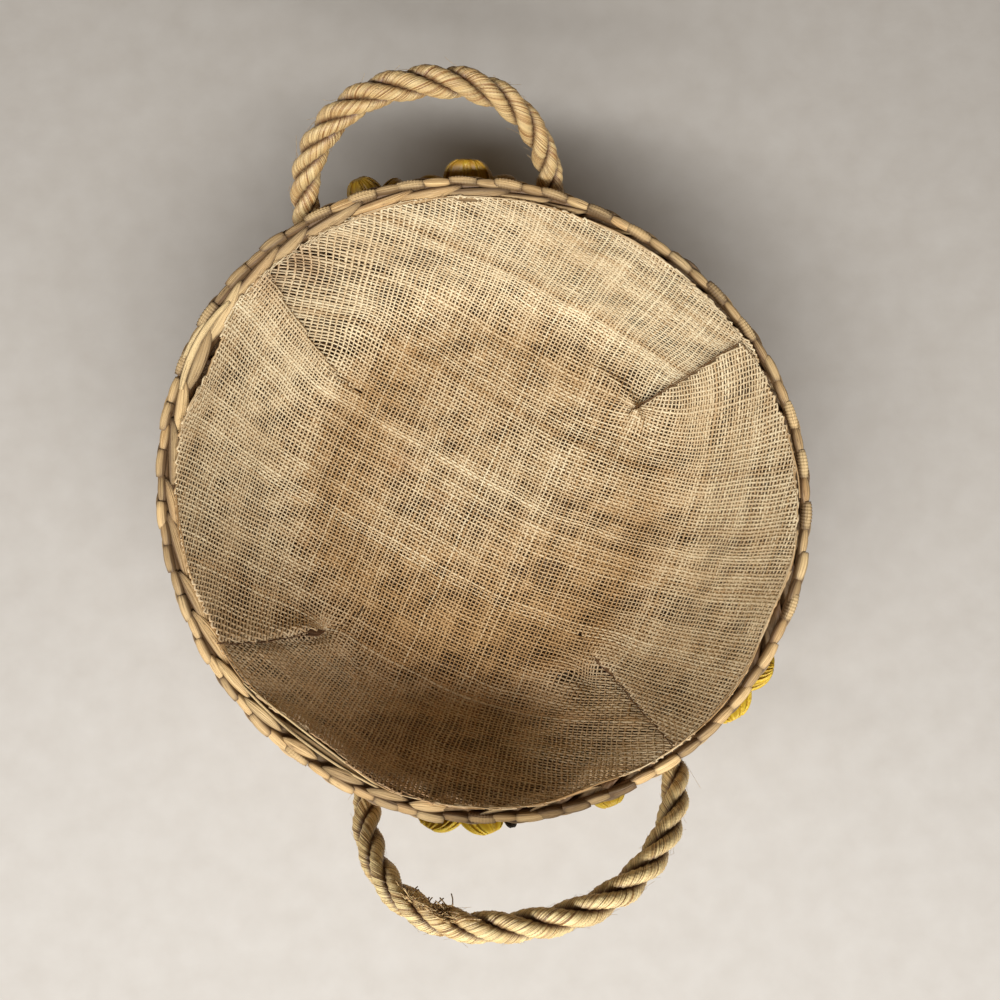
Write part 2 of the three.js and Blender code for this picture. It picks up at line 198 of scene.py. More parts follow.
class Shape:
    """Gathers swept grids of points into one mesh, with values for the materials."""

    def __init__(self):
        self.points, self.quads, self.ends = [], [], []
        self.values = {"grain": [], "tone": [], "fold": []}
        self.count = 0

    def add(self, grid, grain, tone=0.0, fold=0.0, ring=False):
        """grid is rows x corners x 3; every row is closed, and ring joins the last row to the first."""
        n, m = grid.shape[:2]
        start = self.count
        i = np.arange(n if ring else n - 1)[:, None]
        j = np.arange(m)[None, :]
        after, beside = (i + 1) % n, (j + 1) % m
        corners = [i * m + j, i * m + beside, after * m + beside, after * m + j]
        self.quads.append(np.stack(corners, -1).reshape(-1, 4) + start)
        if not ring:
            first = np.arange(start, start + m)
            self.ends += [first[::-1], first + (n - 1) * m]
        self.points.append(grid.reshape(-1, 3))
        self.values["grain"].append(np.broadcast_to(grain, (n, m, 3)).reshape(-1, 3))
        self.values["tone"].append(np.broadcast_to(tone, (n, m)).reshape(-1))
        self.values["fold"].append(np.broadcast_to(fold, (n, m)).reshape(-1))
        self.count += n * m

    def sweep(self, line, face, wide, thick, corners, tone=0.0, fold=0.0):
        """A ribbon along a line: the way it faces, and half its width and thickness at each point."""
        tangent = unit(np.gradient(line, axis=0))
        face = unit(face - tangent * (face * tangent).sum(-1, keepdims=True))
        side = np.cross(face, tangent)
        across, through = ribbon_section(corners)
        u = np.broadcast_to(wide, len(line))[:, None] * across
        v = np.broadcast_to(thick, len(line))[:, None] * through
        grid = line[:, None] + u[..., None] * side[:, None] + v[..., None] * face[:, None]
        grain = grid_of(distance(line)[:, None], across, rng.uniform(0, GRAIN_SHIFT))
        # Painted shade along the ribbon's edges
        self.add(grid, grain, tone - EDGE_SHADE * np.abs(across) ** 3, fold)

    def make(self, name, slot, nodes=(), body="basket"):
        """The finished piece, with its slot, the solid nodes it stands for and the body it rides on."""
        points = warp(np.concatenate(self.points))
        quads = np.concatenate(self.quads)
        sizes = [4] * len(quads) + [len(e) for e in self.ends]
        corners = np.concatenate([quads.reshape(-1), *self.ends])
        mesh = bpy.data.meshes.new(name)
        mesh.vertices.add(len(points))
        mesh.vertices.foreach_set("co", (points * MM).astype(np.float32).ravel())
        mesh.loops.add(len(corners))
        mesh.loops.foreach_set("vertex_index", corners.astype(np.int32))
        mesh.polygons.add(len(sizes))
        starts = np.concatenate([[0], np.cumsum(sizes)[:-1]])
        mesh.polygons.foreach_set("loop_start", starts.astype(np.int32))
        mesh.update(calc_edges=True)
        mesh.validate()
        mesh.polygons.foreach_set("use_smooth", np.ones(len(mesh.polygons), bool))
        for key, values in self.values.items():
            kind, field = ("FLOAT_VECTOR", "vector") if key == "grain" else ("FLOAT", "value")
            layer = mesh.attributes.new(key, kind, "POINT")
            layer.data.foreach_set(field, np.concatenate(values).astype(np.float32).ravel())
        mesh.materials.append(LOOKS[slot])
        piece = bpy.data.objects.new(name, mesh)
        bpy.context.scene.collection.objects.link(piece)
        if nodes:
            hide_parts(*nodes)
        if body:
            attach(piece, body)
        return piece


# Materials


def rgb(r, g, b):
    """An sRGB colour from 0 to 255 as linear red, green, blue and alpha."""
    share = [c / 255 for c in (r, g, b)]
    return [c / 12.92 if c <= 0.04045 else ((c + 0.055) / 1.055) ** 2.4 for c in share] + [1]


class Look:
    """A material and short ways to add nodes to it."""

    def __init__(self, name):
        self.material = bpy.data.materials.new(name)
        self.material.use_nodes = True
        self.tree = self.material.node_tree
        self.tree.nodes.clear()

    def node(self, kind, inputs, **settings):
        made = self.tree.nodes.new(kind)
        for key, value in settings.items():
            setattr(made, key, value)
        for key, value in inputs.items():
            if isinstance(value, bpy.types.NodeSocket):
                self.tree.links.new(value, made.inputs[key])
            else:
                made.inputs[key].default_value = value
        return made

    def read(self, name, kind="Fac"):
        """A value that Shape wrote on the mesh."""
        return self.node("ShaderNodeAttribute", {}, attribute_name=name).outputs[kind]

    def read_all(self):
        return self.read("grain", "Vector"), self.read("tone"), self.read("fold")

    def place(self):
        return self.node("ShaderNodeTexCoord", {}).outputs["Object"]

    def math(self, operation, a, b=0.0):
        return self.node("ShaderNodeMath", {0: a, 1: b}, operation=operation).outputs[0]

    def mix(self, share, a, b):
        """From colour a to colour b, each a socket or an sRGB colour."""
        a, b = (rgb(*c) if isinstance(c, tuple) else c for c in (a, b))
        return self.node("ShaderNodeMix", {0: share, 6: a, 7: b}, data_type="RGBA").outputs[2]

    def noise(self, vector, scale, detail=2.0, stretch=(1, 1, 1)):
        moved = self.node("ShaderNodeMapping", {"Vector": vector, "Scale": stretch}).outputs[0]
        inputs = {"Vector": moved, "Scale": scale, "Detail": detail}
        return self.node("ShaderNodeTexNoise", inputs).outputs["Fac"]

    def spread(self, value, low, high, to_low=0.0, to_high=1.0):
        inputs = {"Value": value, "From Min": low, "From Max": high, "To Min": to_low, "To Max": to_high}
        return self.node("ShaderNodeMapRange", inputs).outputs[0]

    def start(self, value, low, high, dark, light):
        """The first colour, from dark to light as a value goes from low to high."""
        self.colour = self.mix(self.spread(value, low, high), dark, light)

    def paint(self, colour, value, *span):
        """Lays a colour over the rest, as thickly as a value spread over a span says."""
        self.colour = self.mix(self.spread(value, *span) if span else value, self.colour, colour)

    def finish(self, roughness, height, depth, **constants):
        bump = self.node("ShaderNodeBump", {"Height": height, "Strength": 1.0, "Distance": depth})
        inputs = {"Base Color": self.colour, "Roughness": roughness, "Normal": bump.outputs[0], **constants}
        shader = self.node("ShaderNodeBsdfPrincipled", inputs)
        self.node("ShaderNodeOutputMaterial", {"Surface": shader.outputs[0]})
        return self.material


def straw_look():
    """Flattened straw: lengthwise fibres and splits, pale where it folds over an edge, brown where old, and
    dark with painted shade along edges, at ends, under the cloth and in the packing.
    """
    look = Look("straw")
    grain, tone, fold = look.read_all()
    fibre = look.noise(grain, 1.0, 4.0, (0.05, 5.0, 1.0))
    blotch = look.noise(grain, 1.0, 3.0, (0.06, 0.5, 1.0))
    split = look.noise(grain, 1.0, 1.0, (0.03, 2.6, 1.7))
    look.start(fibre, 0.3, 0.7, (160, 110, 52), (248, 210, 146))
    look.paint((206, 154, 94), blotch, 0.42, 0.72, 0.0, 0.75)
    look.paint((250, 222, 166), look.math("MULTIPLY", fold, 0.85))
    crack = look.spread(look.math("ABSOLUTE", look.math("SUBTRACT", split, 0.55)), 0.0, 0.02, 0.75, 0.0)
    look.paint((92, 58, 30), crack)
    # Dark brown as the tone falls: random age, and painted shade along edges, at ends, under the cloth and
    # in the packing
    look.paint((66, 38, 16), tone, -1.0, 0.6, 0.85, 0.0)
    height = look.math("ADD", fibre, look.math("MULTIPLY", blotch, 0.5))
    return look.finish(look.spread(fibre, 0.2, 0.8, 0.68, 0.46), height, 0.0008)


def cloth_look():
    """Undyed abaca threads, each a little different, with old stains; painted highlights along their tops,
    and painted shade at their edges, on the floor and on the front wall.
    """
    look = Look("abaca_cloth")
    grain, tone, stain_and_shade = look.read_all()
    fibre = look.noise(grain, 1.0, 3.0, (0.25, 1.0, 1.0))
    patch = look.noise(look.place(), 14.0, 4.0)
    look.start(tone, -1.0, 1.0, (172, 134, 84), (247, 234, 198))
    look.paint((176, 138, 86), fibre, 0.4, 0.75, 0.0, 0.45)
    look.paint((196, 160, 112), patch, 0.45, 0.7, 0.0, 0.3)
    # Real stains, and painted shade on the front wall
    look.paint((150, 98, 46), stain_and_shade)
    # Darkest brown for the lowest tones: painted shadow along the darts' seams, and the deepest painted
    # shade on the floor
    look.paint((66, 36, 14), tone, -3.0, -1.2, 0.9, 0.0)
    return look.finish(0.72, fibre, 0.0002)


def rope_look():
    """Abaca rope yarn: fine fibres round each strand, golden with pale streaks, and painted shade in the
    grooves between strands.
    """
    look = Look("abaca_rope")
    grain, tone, groove = look.read_all()
    fibre = look.noise(grain, 1.0, 5.0)
    band = look.noise(grain, 0.35, 2.0)
    look.start(fibre, 0.38, 0.54, (108, 64, 24), (255, 232, 170))
    look.paint((224, 172, 98), band, 0.35, 0.7, 0.0, 0.45)
    # Browner as the tone falls: at random, darker as painted shade on the rear rope, and paler as painted
    # light on the front one
    look.paint((150, 98, 46), tone, -1.0, 1.0, 0.45, 0.0)
    # Painted shade in the grooves
    look.paint((86, 46, 16), groove)
    sheen = {"Sheen Weight": 0.35, "Sheen Roughness": 0.4, "Sheen Tint": rgb(255, 222, 164)}
    return look.finish(0.4, fibre, 0.0008, **{"Specular IOR Level": 0.7}, **sheen)


def raffia_look(name, dark, light, deep):
    """Dyed raffia: satin, with fine lengthwise ribs, and painted shade in the hollows between them and on
    the rear flowers.
    """
    look = Look(name)
    grain, tone, groove = look.read_all()
    rib = look.noise(grain, 1.0, 3.0)
    look.start(rib, 0.3, 0.7, dark, light)
    look.paint(deep, tone, -1.0, 1.0, 0.4, 0.0)
    # Painted shade in the hollows between the ribs, and over the rear flowers
    look.paint(deep, groove)
    return look.finish(look.spread(rib, 0.2, 0.8, 0.5, 0.3), rib, 0.0006)


def cord_look():
    """Thin tying cord of the same fibre as the rope."""
    look = Look("tying_cord")
    fibre = look.noise(look.read("grain", "Vector"), 1.0, 4.0)
    look.start(fibre, 0.3, 0.7, (150, 112, 66), (222, 190, 138))
    return look.finish(0.7, fibre, 0.0006)


def floor_look():
    """A plain pale table top."""
    look = Look("floor")
    speck = look.noise(look.place(), 60.0, 3.0)
    look.start(speck, 0.2, 0.8, (178, 172, 164), (186, 181, 174))
    return look.finish(0.6, speck, 0.0002)


LOOKS = {
    "straw_plait": straw_look(),
    "lining_cloth": cloth_look(),
    "rope": rope_look(),
    "lashing_cord": cord_look(),
    "yellow_raffia": raffia_look("yellow_raffia", (214, 162, 22), (255, 230, 80), (128, 80, 10)),
    "dark_raffia": raffia_look("dark_raffia", (24, 18, 13), (62, 48, 36), (12, 9, 7)),
}

# The bowl's wall, measured up its slope and outward from the middle of the plait

PITCH = PLAIT_WIDTH + SEAT
EDGE_HALF = PLAIT_THICKNESS / 4
WALL_LENGTH = WALL_ROUNDS * PITCH - SEAT
BASE_RADIUS = FOOT_RADIUS - EDGE_HALF - SEAT
FACE = PLAIT_THICKNESS / 2 + SEAT  # from the middle of the plait to what lies against it


def wall_rounds():
    """(lean, radius, height) of each round's lower edge."""
    off = [radians(WALL_BELLY) * (1 - 2 * i / (WALL_ROUNDS - 1)) for i in range(WALL_ROUNDS)]
    mean = asin((RIM_RADIUS - FOOT_RADIUS) / (PITCH * sum(cos(o) for o in off)))
    radius, height = FOOT_RADIUS, SEAT + EDGE_HALF * sin(mean + off[0])
    rounds = []
    for o in off:
        lean = mean + o
        rounds.append((lean, radius, height))
        radius += PITCH * sin(lean)
        height += PITCH * cos(lean)
    return rounds


ROUNDS = wall_rounds()


def slope_place(start, up, out):
    """(radius, height) at a distance up the slope and out of it, from a start of (lean, radius, height)."""
    lean, radius, height = start
    return radius + up * sin(lean) + out * cos(lean), height + up * cos(lean) - out * sin(lean)


def wall_place(up, out):
    """(radius, height, lean) at a distance up the wall and out of it."""
    i = min(max(int(up // PITCH), 0), WALL_ROUNDS - 1)
    return (*slope_place(ROUNDS[i], up - i * PITCH, out), ROUNDS[i][0])


def wall_frame(azimuth, up, out):
    """Origin and the directions round, up and out of the wall at an azimuth in degrees."""
    radius, height, lean = wall_place(up, out)
    away = np.array([*polar(azimuth, 1), 0])
    upright = np.array([0, 0, 1.0])
    up_wall = away * sin(lean) + upright * cos(lean)
    out_wall = away * cos(lean) - upright * sin(lean)
    return away * radius + upright * height, np.cross(up_wall, out_wall), up_wall, out_wall


# Plaited straw

STRAND_HALF = 6.6  # half a strand's width on the flat of the plait
FOLD_HALF = 3.7  # and where it folds over an edge
STRAND_THICK = 1.5
FOLD_THICK = 1.9
STRAND_LENGTH = 1.25  # a strand is so many times as long as its round
STRAND_CORNERS = 14
SWING_POWER = 0.86  # strands linger at the edges of the plait
FOLD_SPAN = (0.72, 0.96)  # share of the way to an edge over which a strand folds
RIBS = 7
RIB_HEIGHT = 0.18
RIB_FADE = 0.5  # share of it that goes where a strand folds
STRAND_ROOM = 0.1  # between a strand and the face of the plait
EDGE_THINNING = 0.12
FOLD_PALE = 0.8
STRAND_TONES = (-0.6, 1)
# Painted shade on the side of the plait under the cloth: how dark, and over what depth
HIDDEN_SHADE = 1.6
HIDDEN_SPAN = (0.5, 2.5)
# How each strand strays from an even plait: waves, size and speed
STRAY = {
    "phase": (9, 0.05, 2), "reach": (14, 0.018, 3), "depth": (11, 0.06, 3), "width": (15, 0.07, 4),
    "tone": (24, 0.45, 3),
}
CORE_HALF = 0.8  # packing between the strands
CORE_MARGIN = 1.5
CORE_CORNERS = 8
CORE_ROWS = 180
CREST_DROP = 4.5  # the plait proper ends this far below the rim's crest
# The strand wound flat at the start: inner radius, how far it winds out, half sizes, turns and length
START = {"inner": 2.4, "out": 5.6, "wide": 3.9, "thick": 3.2, "turns": 1.6, "length": 60}
STEPS = {"wall": 1.6, "rim": 1.2, "base": 1.8}  # along a strand


def plait_ring(shape, mid_radius, width, place, step, hidden):
    """Three strands plaited into a closed ring. place(across, through, azimuth) gives points, and hidden is
    the side of the plait, -1 or 1, that lies under the cloth and is painted dark brown as painted shade."""
    per_radian = round(TAU * mid_radius / PLAIT_LOOP) / 3
    length = TAU * mid_radius * STRAND_LENGTH
    rows = int(length / step)
    azimuth = np.linspace(0, TAU, rows)[:, None]
    along = np.linspace(0, length, rows)[:, None]
    amplitude = width / 2 - FOLD_THICK
    depth = PLAIT_THICKNESS / 2 - STRAND_THICK - STRAND_ROOM
    across, through = ribbon_section(STRAND_CORNERS)
    shift = rng.uniform(0, TAU)
    for k in range(3):
        phase = per_radian * azimuth + TAU * k / 3 + shift + wander(azimuth, *STRAY["phase"])
        reach = amplitude * (1 + wander(azimuth, *STRAY["reach"]))
        c, s, c2 = np.cos(phase), np.sin(phase), np.cos(2 * phase)
        x = reach * np.sign(s) * np.abs(s) ** SWING_POWER
        z = depth * np.sin(2 * phase) * (1 + wander(azimuth, *STRAY["depth"]))
        fold = smooth(np.abs(s), *FOLD_SPAN)
        normal = unit(grid_of(2 * depth * c2, 0 * c, -amplitude * c))
        tangent = unit(grid_of(amplitude * c, mid_radius / per_radian, 2 * depth * c2))
        wide = np.cross(normal, tangent)
        half = STRAND_HALF + (FOLD_HALF - STRAND_HALF) * fold
        half *= 1 + wander(azimuth, *STRAY["width"])
        thick = STRAND_THICK + (FOLD_THICK - STRAND_THICK) * fold
        rib = RIB_HEIGHT * np.cos(RIBS * across + rng.uniform(0, TAU)) * (1 - RIB_FADE * fold)
        u = half * across
        v = thick * through * (1 - EDGE_THINNING * across**2)
        v = v + rib * np.sign(through)
        px = x + u * wide[..., 0] + v * normal[..., 0]
        pz = z + u * wide[..., 2] + v * normal[..., 2]
        turn = azimuth + u * wide[..., 1] / mid_radius
        px = np.clip(px, -width / 2, width / 2)
        pz = np.clip(pz, -PLAIT_THICKNESS / 2, PLAIT_THICKNESS / 2)
        grain = grid_of(along, across, rng.uniform(0, GRAIN_SHIFT))
        tone = np.clip(wander(azimuth, *STRAY["tone"]), *STRAND_TONES)
        # Painted shade on the side that lies under the cloth
        tone = tone - HIDDEN_SHADE * smooth(hidden * pz, *HIDDEN_SPAN)
        shape.add(place(width / 2 + px, pz, turn), grain, tone, FOLD_PALE * fold)
    a = turns(CORE_CORNERS)
    core_across = width / 2 + (width / 2 - CORE_MARGIN) * np.cos(a)
    core = place(core_across, -CORE_HALF * np.sin(a), turns(CORE_ROWS)[:, None])
    # The packing is painted dark, as painted shade in the gaps between the strands
    shape.add(core, (0, 0, 0), -1.0, ring=True)


def add_wall():
    for i, start in enumerate(ROUNDS, 1):
        top = i == WALL_ROUNDS

        def place(across, through, azimuth):
            return around(*slope_place(start, across, through), azimuth)

        shape = Shape()
        mid = wall_place((i - 0.5) * PITCH, 0)[0]
        width = PLAIT_WIDTH - (CREST_DROP if top else 0)
        plait_ring(shape, mid, width, place, STEPS["rim" if top else "wall"], -1)
        name, node = ("plait_rim", "rim_round") if top else (f"plait_wall_{i}", f"wall_round_{i}")
        shape.make(name, "straw_plait", [node])


def add_base():
    pitch = (BASE_RADIUS - BASE_START_RADIUS) / BASE_ROUNDS
    width = pitch - SEAT
    for i in range(1, BASE_ROUNDS + 1):
        outer = BASE_START_RADIUS + i * pitch

        def place(across, through, azimuth):
            return around(outer - across, PLAIT_THICKNESS / 2 + through, azimuth)

        shape = Shape()
        plait_ring(shape, outer - width / 2, width, place, STEPS["base"], 1)
        shape.make(f"plait_base_{i}", "straw_plait", [f"base_round_{i}"])


def add_base_start():
    """The plait's folded beginning: one strand wound flat on itself."""
    shape = Shape()
    t = np.linspace(0, 1, 90)[:, None]
    across, through = ribbon_section(STRAND_CORNERS)
    r = START["inner"] + t * START["out"] + START["thick"] * through
    z = PLAIT_THICKNESS / 2 + START["wide"] * across
    grain = grid_of(t * START["length"], across, 3.0)
    shape.add(around(r, z, t * TAU * START["turns"]), grain, -1.0)
    shape.make("plait_start", "straw_plait", ["base_start"])


# The rim's crest: each strand comes up from inside as a leaf, turns over the crest and goes down outside

CREST_UNITS = 41  # strands that turn over the crest
CREST_WRINKLE = 1.45
WRINKLED_PALE = 0.6
LENS_SPAN = (203, 256)  # where the strands inside the rim are short and plump
# Along the rim, then down from the crest, out from the middle, half width and half thickness at the start,
# middle and end of each part, the way that it faces, up the wall and out of it, and how pale it is
CREST_PARTS = {
    "leaf": {
        "along": (-7, 25), "drop": (5.4, 5.2, 2.5), "out": (-2.4, -3.9, -1.4),
        "wide": (0.5, 2.4, 0.6), "thick": (0.6, 1.3, 0.7), "face": (0.6, -0.8), "pale": 0.5,
    },
    "lens": {
        "along": (-3, 20), "drop": (4.6, 2.9, 3.2), "out": (-2.2, -3.0, -0.8),
        "wide": (0.5, 2.7, 0.5), "thick": (0.8, 2.1, 0.8), "face": (0.8, -0.6), "pale": 0.45,
    },
    "barrel": {
        "along": (0, 12.4), "drop": (2.3, 1.9, 2.3), "out": (1.1, 0.8, 0.5),
        "wide": (1.9, 2.3, 1.9), "thick": (1.7, 2.0, 1.7), "face": (1, 0), "pale": 0.45,
    },
    "plain": {
        "along": (12.0, 24.2), "drop": (2.5, 2.1, 2.7), "out": (0.8, 0.4, 0.6),
        "wide": (1.3, 2.2, 1.5), "thick": (1.4, 1.8, 1.4), "face": (1, 0), "pale": 0.35,
    },
    "sliver": {
        "along": (3, 19), "drop": (4.8, 3.6, 5.2), "out": (2.6, 3.6, 2.8),
        "wide": (0.5, 1.7, 0.5), "thick": (0.5, 1.1, 0.5), "face": (0.5, 0.85), "pale": 0.5,
    },
}
# By azimuth, how broad the strands inside the rim are, and what share of the turns over it are wrinkled
LEAF_SIZES = ([0, 56, 76, 120, 140, 250, 262, 300, 360], [0.2, 0.2, 1.15, 1.25, 1.3, 1.3, 0.7, 0.2, 0.2])
WRINKLED = ([0, 120, 150, 240, 300, 360], [0.75, 0.75, 0.3, 0.25, 0.4, 0.75])
LEAST_LEAF = 0.4
LEAF_INWARD = 1.2  # how far the crest leans in where the leaves are narrow
LEAF_STRETCH = (0.85, 1.18)
WRINKLE_HEIGHT = 0.07
BARREL_ROWS = 36
PART_ROWS = 16
# The packing under the crest: down from it, and half sizes
PACKING = {"drop": 4.6, "tall": 2.0, "thick": 1.7}
PACKING_ROWS = 240
LOOSE_FACE = (0.85, -0.5)
# Loose straws: azimuths, then drop and out at the start, middle and end, half sizes, tone and paleness
LOOSE_STRAWS = [
    (214, 240, (4.4, 5.6, 4.6), (-3.6, -7.2, -3.8), 0.9, 0.5, 0.2, 0.4),
    (203, 246, (3.2, 3.4, 3.4), (-3.0, -6.4, -3.2), 0.6, 0.5, 0.6, 0.8),
    (206, 243, (3.8, 5.2, 3.8), (-3.4, -9.6, -3.6), 0.5, 0.4, 0.6, 0.9),
    (151, 133, (2.2, 0.6, 3.0), (-2.6, -2.8, -3.6), 1.7, 0.5, 0.7, 0.9),
    (148, 137, (1.6, 0.2, 2.0), (0.2, -0.4, -1.4), 1.3, 0.5, 0.7, 1.0),
]


def rim_points(azimuth, drop, out):
    """Points on the rim at azimuths in degrees, down from its crest and out from its middle."""
    return around(*slope_place(ROUNDS[-1], PLAIT_WIDTH - drop, out), np.radians(azimuth))


def rim_face(azimuth, up, out):
    """Directions at azimuths in degrees that look so far up the rim's wall and out of it."""
    return around(*slope_place((ROUNDS[-1][0], 0, 0), up, out), np.radians(azimuth))


def add_crest():
    shape = Shape()
    for i in range(CREST_UNITS):
        start = -360 / CREST_UNITS * i + rng.normal(0, 0.5)
        wrinkled = rng.random() < np.interp(start % 360, *WRINKLED)
        stretch = rng.uniform(*LEAF_STRETCH)
        leaf_size = np.interp(start % 360, *LEAF_SIZES)
        inward = LEAF_INWARD * max(0, 1 - leaf_size)
        plump = LENS_SPAN[0] < start % 360 < LENS_SPAN[1]
        left_out = ["leaf"] if plump else ["lens"] if leaf_size >= LEAST_LEAF else ["leaf", "lens"]
        for name, part in CREST_PARTS.items():
            if name in left_out:
                continue
            t = np.linspace(0, 1, BARREL_ROWS if name == "barrel" else PART_ROWS)
            along = np.interp(t, [0, 1], part["along"])
            if name in ("leaf", "lens"):
                along = along * stretch
            azimuth = start - np.degrees(along / RIM_RADIUS)
            drop = three(part["drop"], t) + rng.normal(0, 0.15)
            out = three(part["out"], t) + rng.normal(0, 0.2) - inward
            size = leaf_size if name == "leaf" else 1.0
            wide = three(part["wide"], t) * size * rng.uniform(0.88, 1.12)
            thick = three(part["thick"], t) * rng.uniform(0.92, 1.06)
            pale = part["pale"]
            if name == "barrel" and wrinkled:
                wrinkle = 1 + WRINKLE_HEIGHT * np.sin(TAU * along / CREST_WRINKLE + rng.uniform(0, TAU))
                wide, thick = wide * wrinkle, thick * wrinkle
                pale = WRINKLED_PALE
            line = rim_points(azimuth, drop, out)
            face = rim_face(azimuth, *part["face"])
            # Painted shade at each part's ends
            tone = rng.normal(0.3, 0.45) - END_SHADE * np.abs(2 * t[:, None] - 1) ** 6
            shape.sweep(line, face, wide, thick, STRAND_CORNERS, tone, pale + rng.normal(0, 0.1))
    a = turns(CORE_CORNERS)
    turn = np.arange(PACKING_ROWS)[:, None] / PACKING_ROWS * 360
    drop = PACKING["drop"] - PACKING["tall"] * np.cos(a)
    packing = rim_points(turn, drop, -PACKING["thick"] * np.sin(a))
    # Painted dark, as painted shade in the gaps under the crest
    shape.add(packing, (0, 0, 0), -1.0, ring=True)
    for first, last, drop, out, wide, thick, tone, pale in LOOSE_STRAWS:
        t = np.linspace(0, 1, 40)
        azimuth = first + (last - first) * t
        line = rim_points(azimuth, three(drop, t), three(out, t))
        taper = 0.35 + 0.65 * np.sin(pi * np.clip(t, 0.02, 0.98)) ** 0.4
        shape.sweep(line, rim_face(azimuth, *LOOSE_FACE), wide * taper, thick, 10, tone, pale)
    shape.make("plait_rim_crest", "straw_plait", ["rim_round"])


# The lining: threads of a flat cloth, pressed into the bowl and taken in at four darts

# Each dart's azimuth at the raw edge and at its foot, and the side that stands proud: -1 clockwise, 1 not
DARTS = [(22.6, 22.6, -1), (123.75, 130.5, 1), (199.4, 212.6, -1), (299, 296.4, 1)]
DART_STEPS = [1.0, 0.25, 0.9, 0.7]  # how deep each one is
DART_FEET = [0, 0, 16, 8]  # how far above the floor each one starts
DART_WIDTH = 9
DART_RUN = 12  # a dart keeps the azimuth of its foot so far past the floor
# How far the proud side of a dart stands off at distances above its foot, and last at the raw edge
DART_UPS = [0, 14, 36]
DART_HEIGHTS = [0, 3.4, 2.6, 1.3]
DART_POWER = 1.6
UNDER_DEPTH = 1.5  # how far the other side goes under
UNDER_SPAN = (-3, 1)  # degrees past the dart over which it does so
TUCK_RUN = 16
DART_TUCK = 5
FLOOR_END = 88  # how far from the middle the cloth starts to turn up
CLOTH_REACH = 215
CLOTH_LIFT = 0.6  # middle of the threads above the solid cloth's face
THREAD_TURN = -38  # how the warp lies across the base
# Warp and weft: the flat cloth's axis that they cross, pitch, width, mean tone and how much higher they lie
THREADS = {
    "warp": {"axis": 1, "pitch": 1.85, "width": 1.37, "tone": 0.3, "proud": 0.03},
    "weft": {"axis": 0, "pitch": 2.02, "width": 1.42, "tone": 0.16, "proud": 0},
}
THREAD_TONES = [-1.0, 0.65, -1.0]  # painted shade at a thread's one edge, a painted highlight along its top and painted shade at its other edge
THREAD_HEIGHT = 0.36
THREAD_LIFT = 0.17
THREAD_STRAY = 0.36
# Soft hills on which threads stray, ripple and close up: number, shortest and longest
STRAY_WAVES = (14, 22, 60)
RIPPLE_WAVES = (10, 25, 60)
CLOSE_WAVES = (16, 10, 45)
CLOSE_SIZE = 0.2
CLOSE_RANGE = (0.72, 1.32)
GAP_WAVES = (40, 0.08)  # how the gaps between threads vary: waves and size
GAP_JITTER = 0.06
WIDTH_JITTER = 0.14
SIZE_RANGE = (0.7, 1.5)  # of gaps and widths, as shares of the mean
TONE_JITTER = 0.26
TONE_RANGE = (-0.8, 0.9)
WARP_BEND = 0.0016  # the warp curves as it nears the right side
WARP_BEND_END = 80
WEFT_LEAN = -0.1
RIPPLE = 0.4
RIPPLE_MOST = 1.4
SWIRL = [0, -6, -6, -2]  # how far each panel is drawn round by its darts, in degrees
PAINTED_WALL_SHADE = (245, 105)  # where the front wall is painted browner, as painted shade: azimuth and width
PAINTED_WALL_SHADE_SHARE = 0.55
WALL_SPAN = (FLOOR_END - 10, FLOOR_END + 32)  # from floor to wall
# The floor is painted darker than the wall: painted shade everywhere and towards its edge, darker to the
# left, and painted shadow to the front; by a whole step in so many millimetres to the left and to the front
FLOOR_SHADE = 0.8
FLOOR_SHADE_BASE = 0.5
FLOOR_SHADE_TO_EDGE = 0.65
DARKER_TO_LEFT = 300
FLOOR_SHADOW_TO_FRONT = 75
# Dents and bulges: azimuth, distance from the middle, size and height
DENTS = [
    (22, 104, 5, -2.5), (210, 114, 6, -3), (290.6, 111, 7, -3.5), (300, 100, 10, 2.5), (281, 100, 10, 2.5),
]
# Where the raw edge hangs off the wall, and where it has slipped down: azimuth, width and distance
EDGE_PULLS = [(150, 14, 4), (226, 22, 5), (283, 14, 3), (328, 20, 3.5)]
EDGE_DROPS = [(143, 12, 6), (105, 80, 4.6), (195, 110, 3.6), (226, 20, 4)]
EDGE_RISE = 4.5  # the raw edge reaches above the solid one's
EDGE_ROOM = 0.5  # the cloth stops this far short of its profile's end
EDGE_PULL_REACH = 26
EDGE_THREADS = 60
EDGE_BUSY = (250, 345)  # azimuths where more of these lie
EDGE_BUSY_SHARE = 0.6
DEEP_DART = 0.5
SEAM_THREADS = 2  # that lie along the folded edge of a deep dart
# How dark the seam threads are: painted shadow along each fold
SEAM_SHADOW_TONES = [-2.5, 0, -2.8, -2.4]
SEAM_SHADOW_WIDTHS = [0, 0, 1.5, 0.9]  # how wide each is at its foot: a dark ribbon, the painted shadow of the fold's open mouth
SEAM_SHADOW_LENGTH = 17
FOLD_EDGE = 2.6  # width of a fold's steep side
PINCHES = [(22, 97, 11, 0.5), (209.5, 113, 9, 0.5), (291, 110, 9, 0.45)]  # azimuth, distance, size and pull
# Folds at the feet of the darts: azimuths and distances along each, its height and its soft side's width
FOLDS = [
    ([14, 23, 33, 46], [92, 96, 97, 92], 8.0, 9),
    ([202.5, 205.5, 208, 211], [150, 135, 124, 110], 3.4, 7),
    ([213, 217, 222, 229], [92, 101, 112, 128], -2.4, 6),
    ([302, 294, 287, 278], [118, 107, 103, 106], 4.0, -8),
]
FRAYS = [(24, 40, 40), (104, 126, 60), (0, 360, 90)]  # from, to and number of loose ends
FRAY_LENGTH = (3, 8)
# Old marks, faint on the floor and stronger high on the wall: x, y, size and strength
STAINS = [(-42, 26, 8, 0.3), (-26, 4, 6, 0.3), (-80, 118, 9, 0.55), (-66, 121, 9, 0.5)]


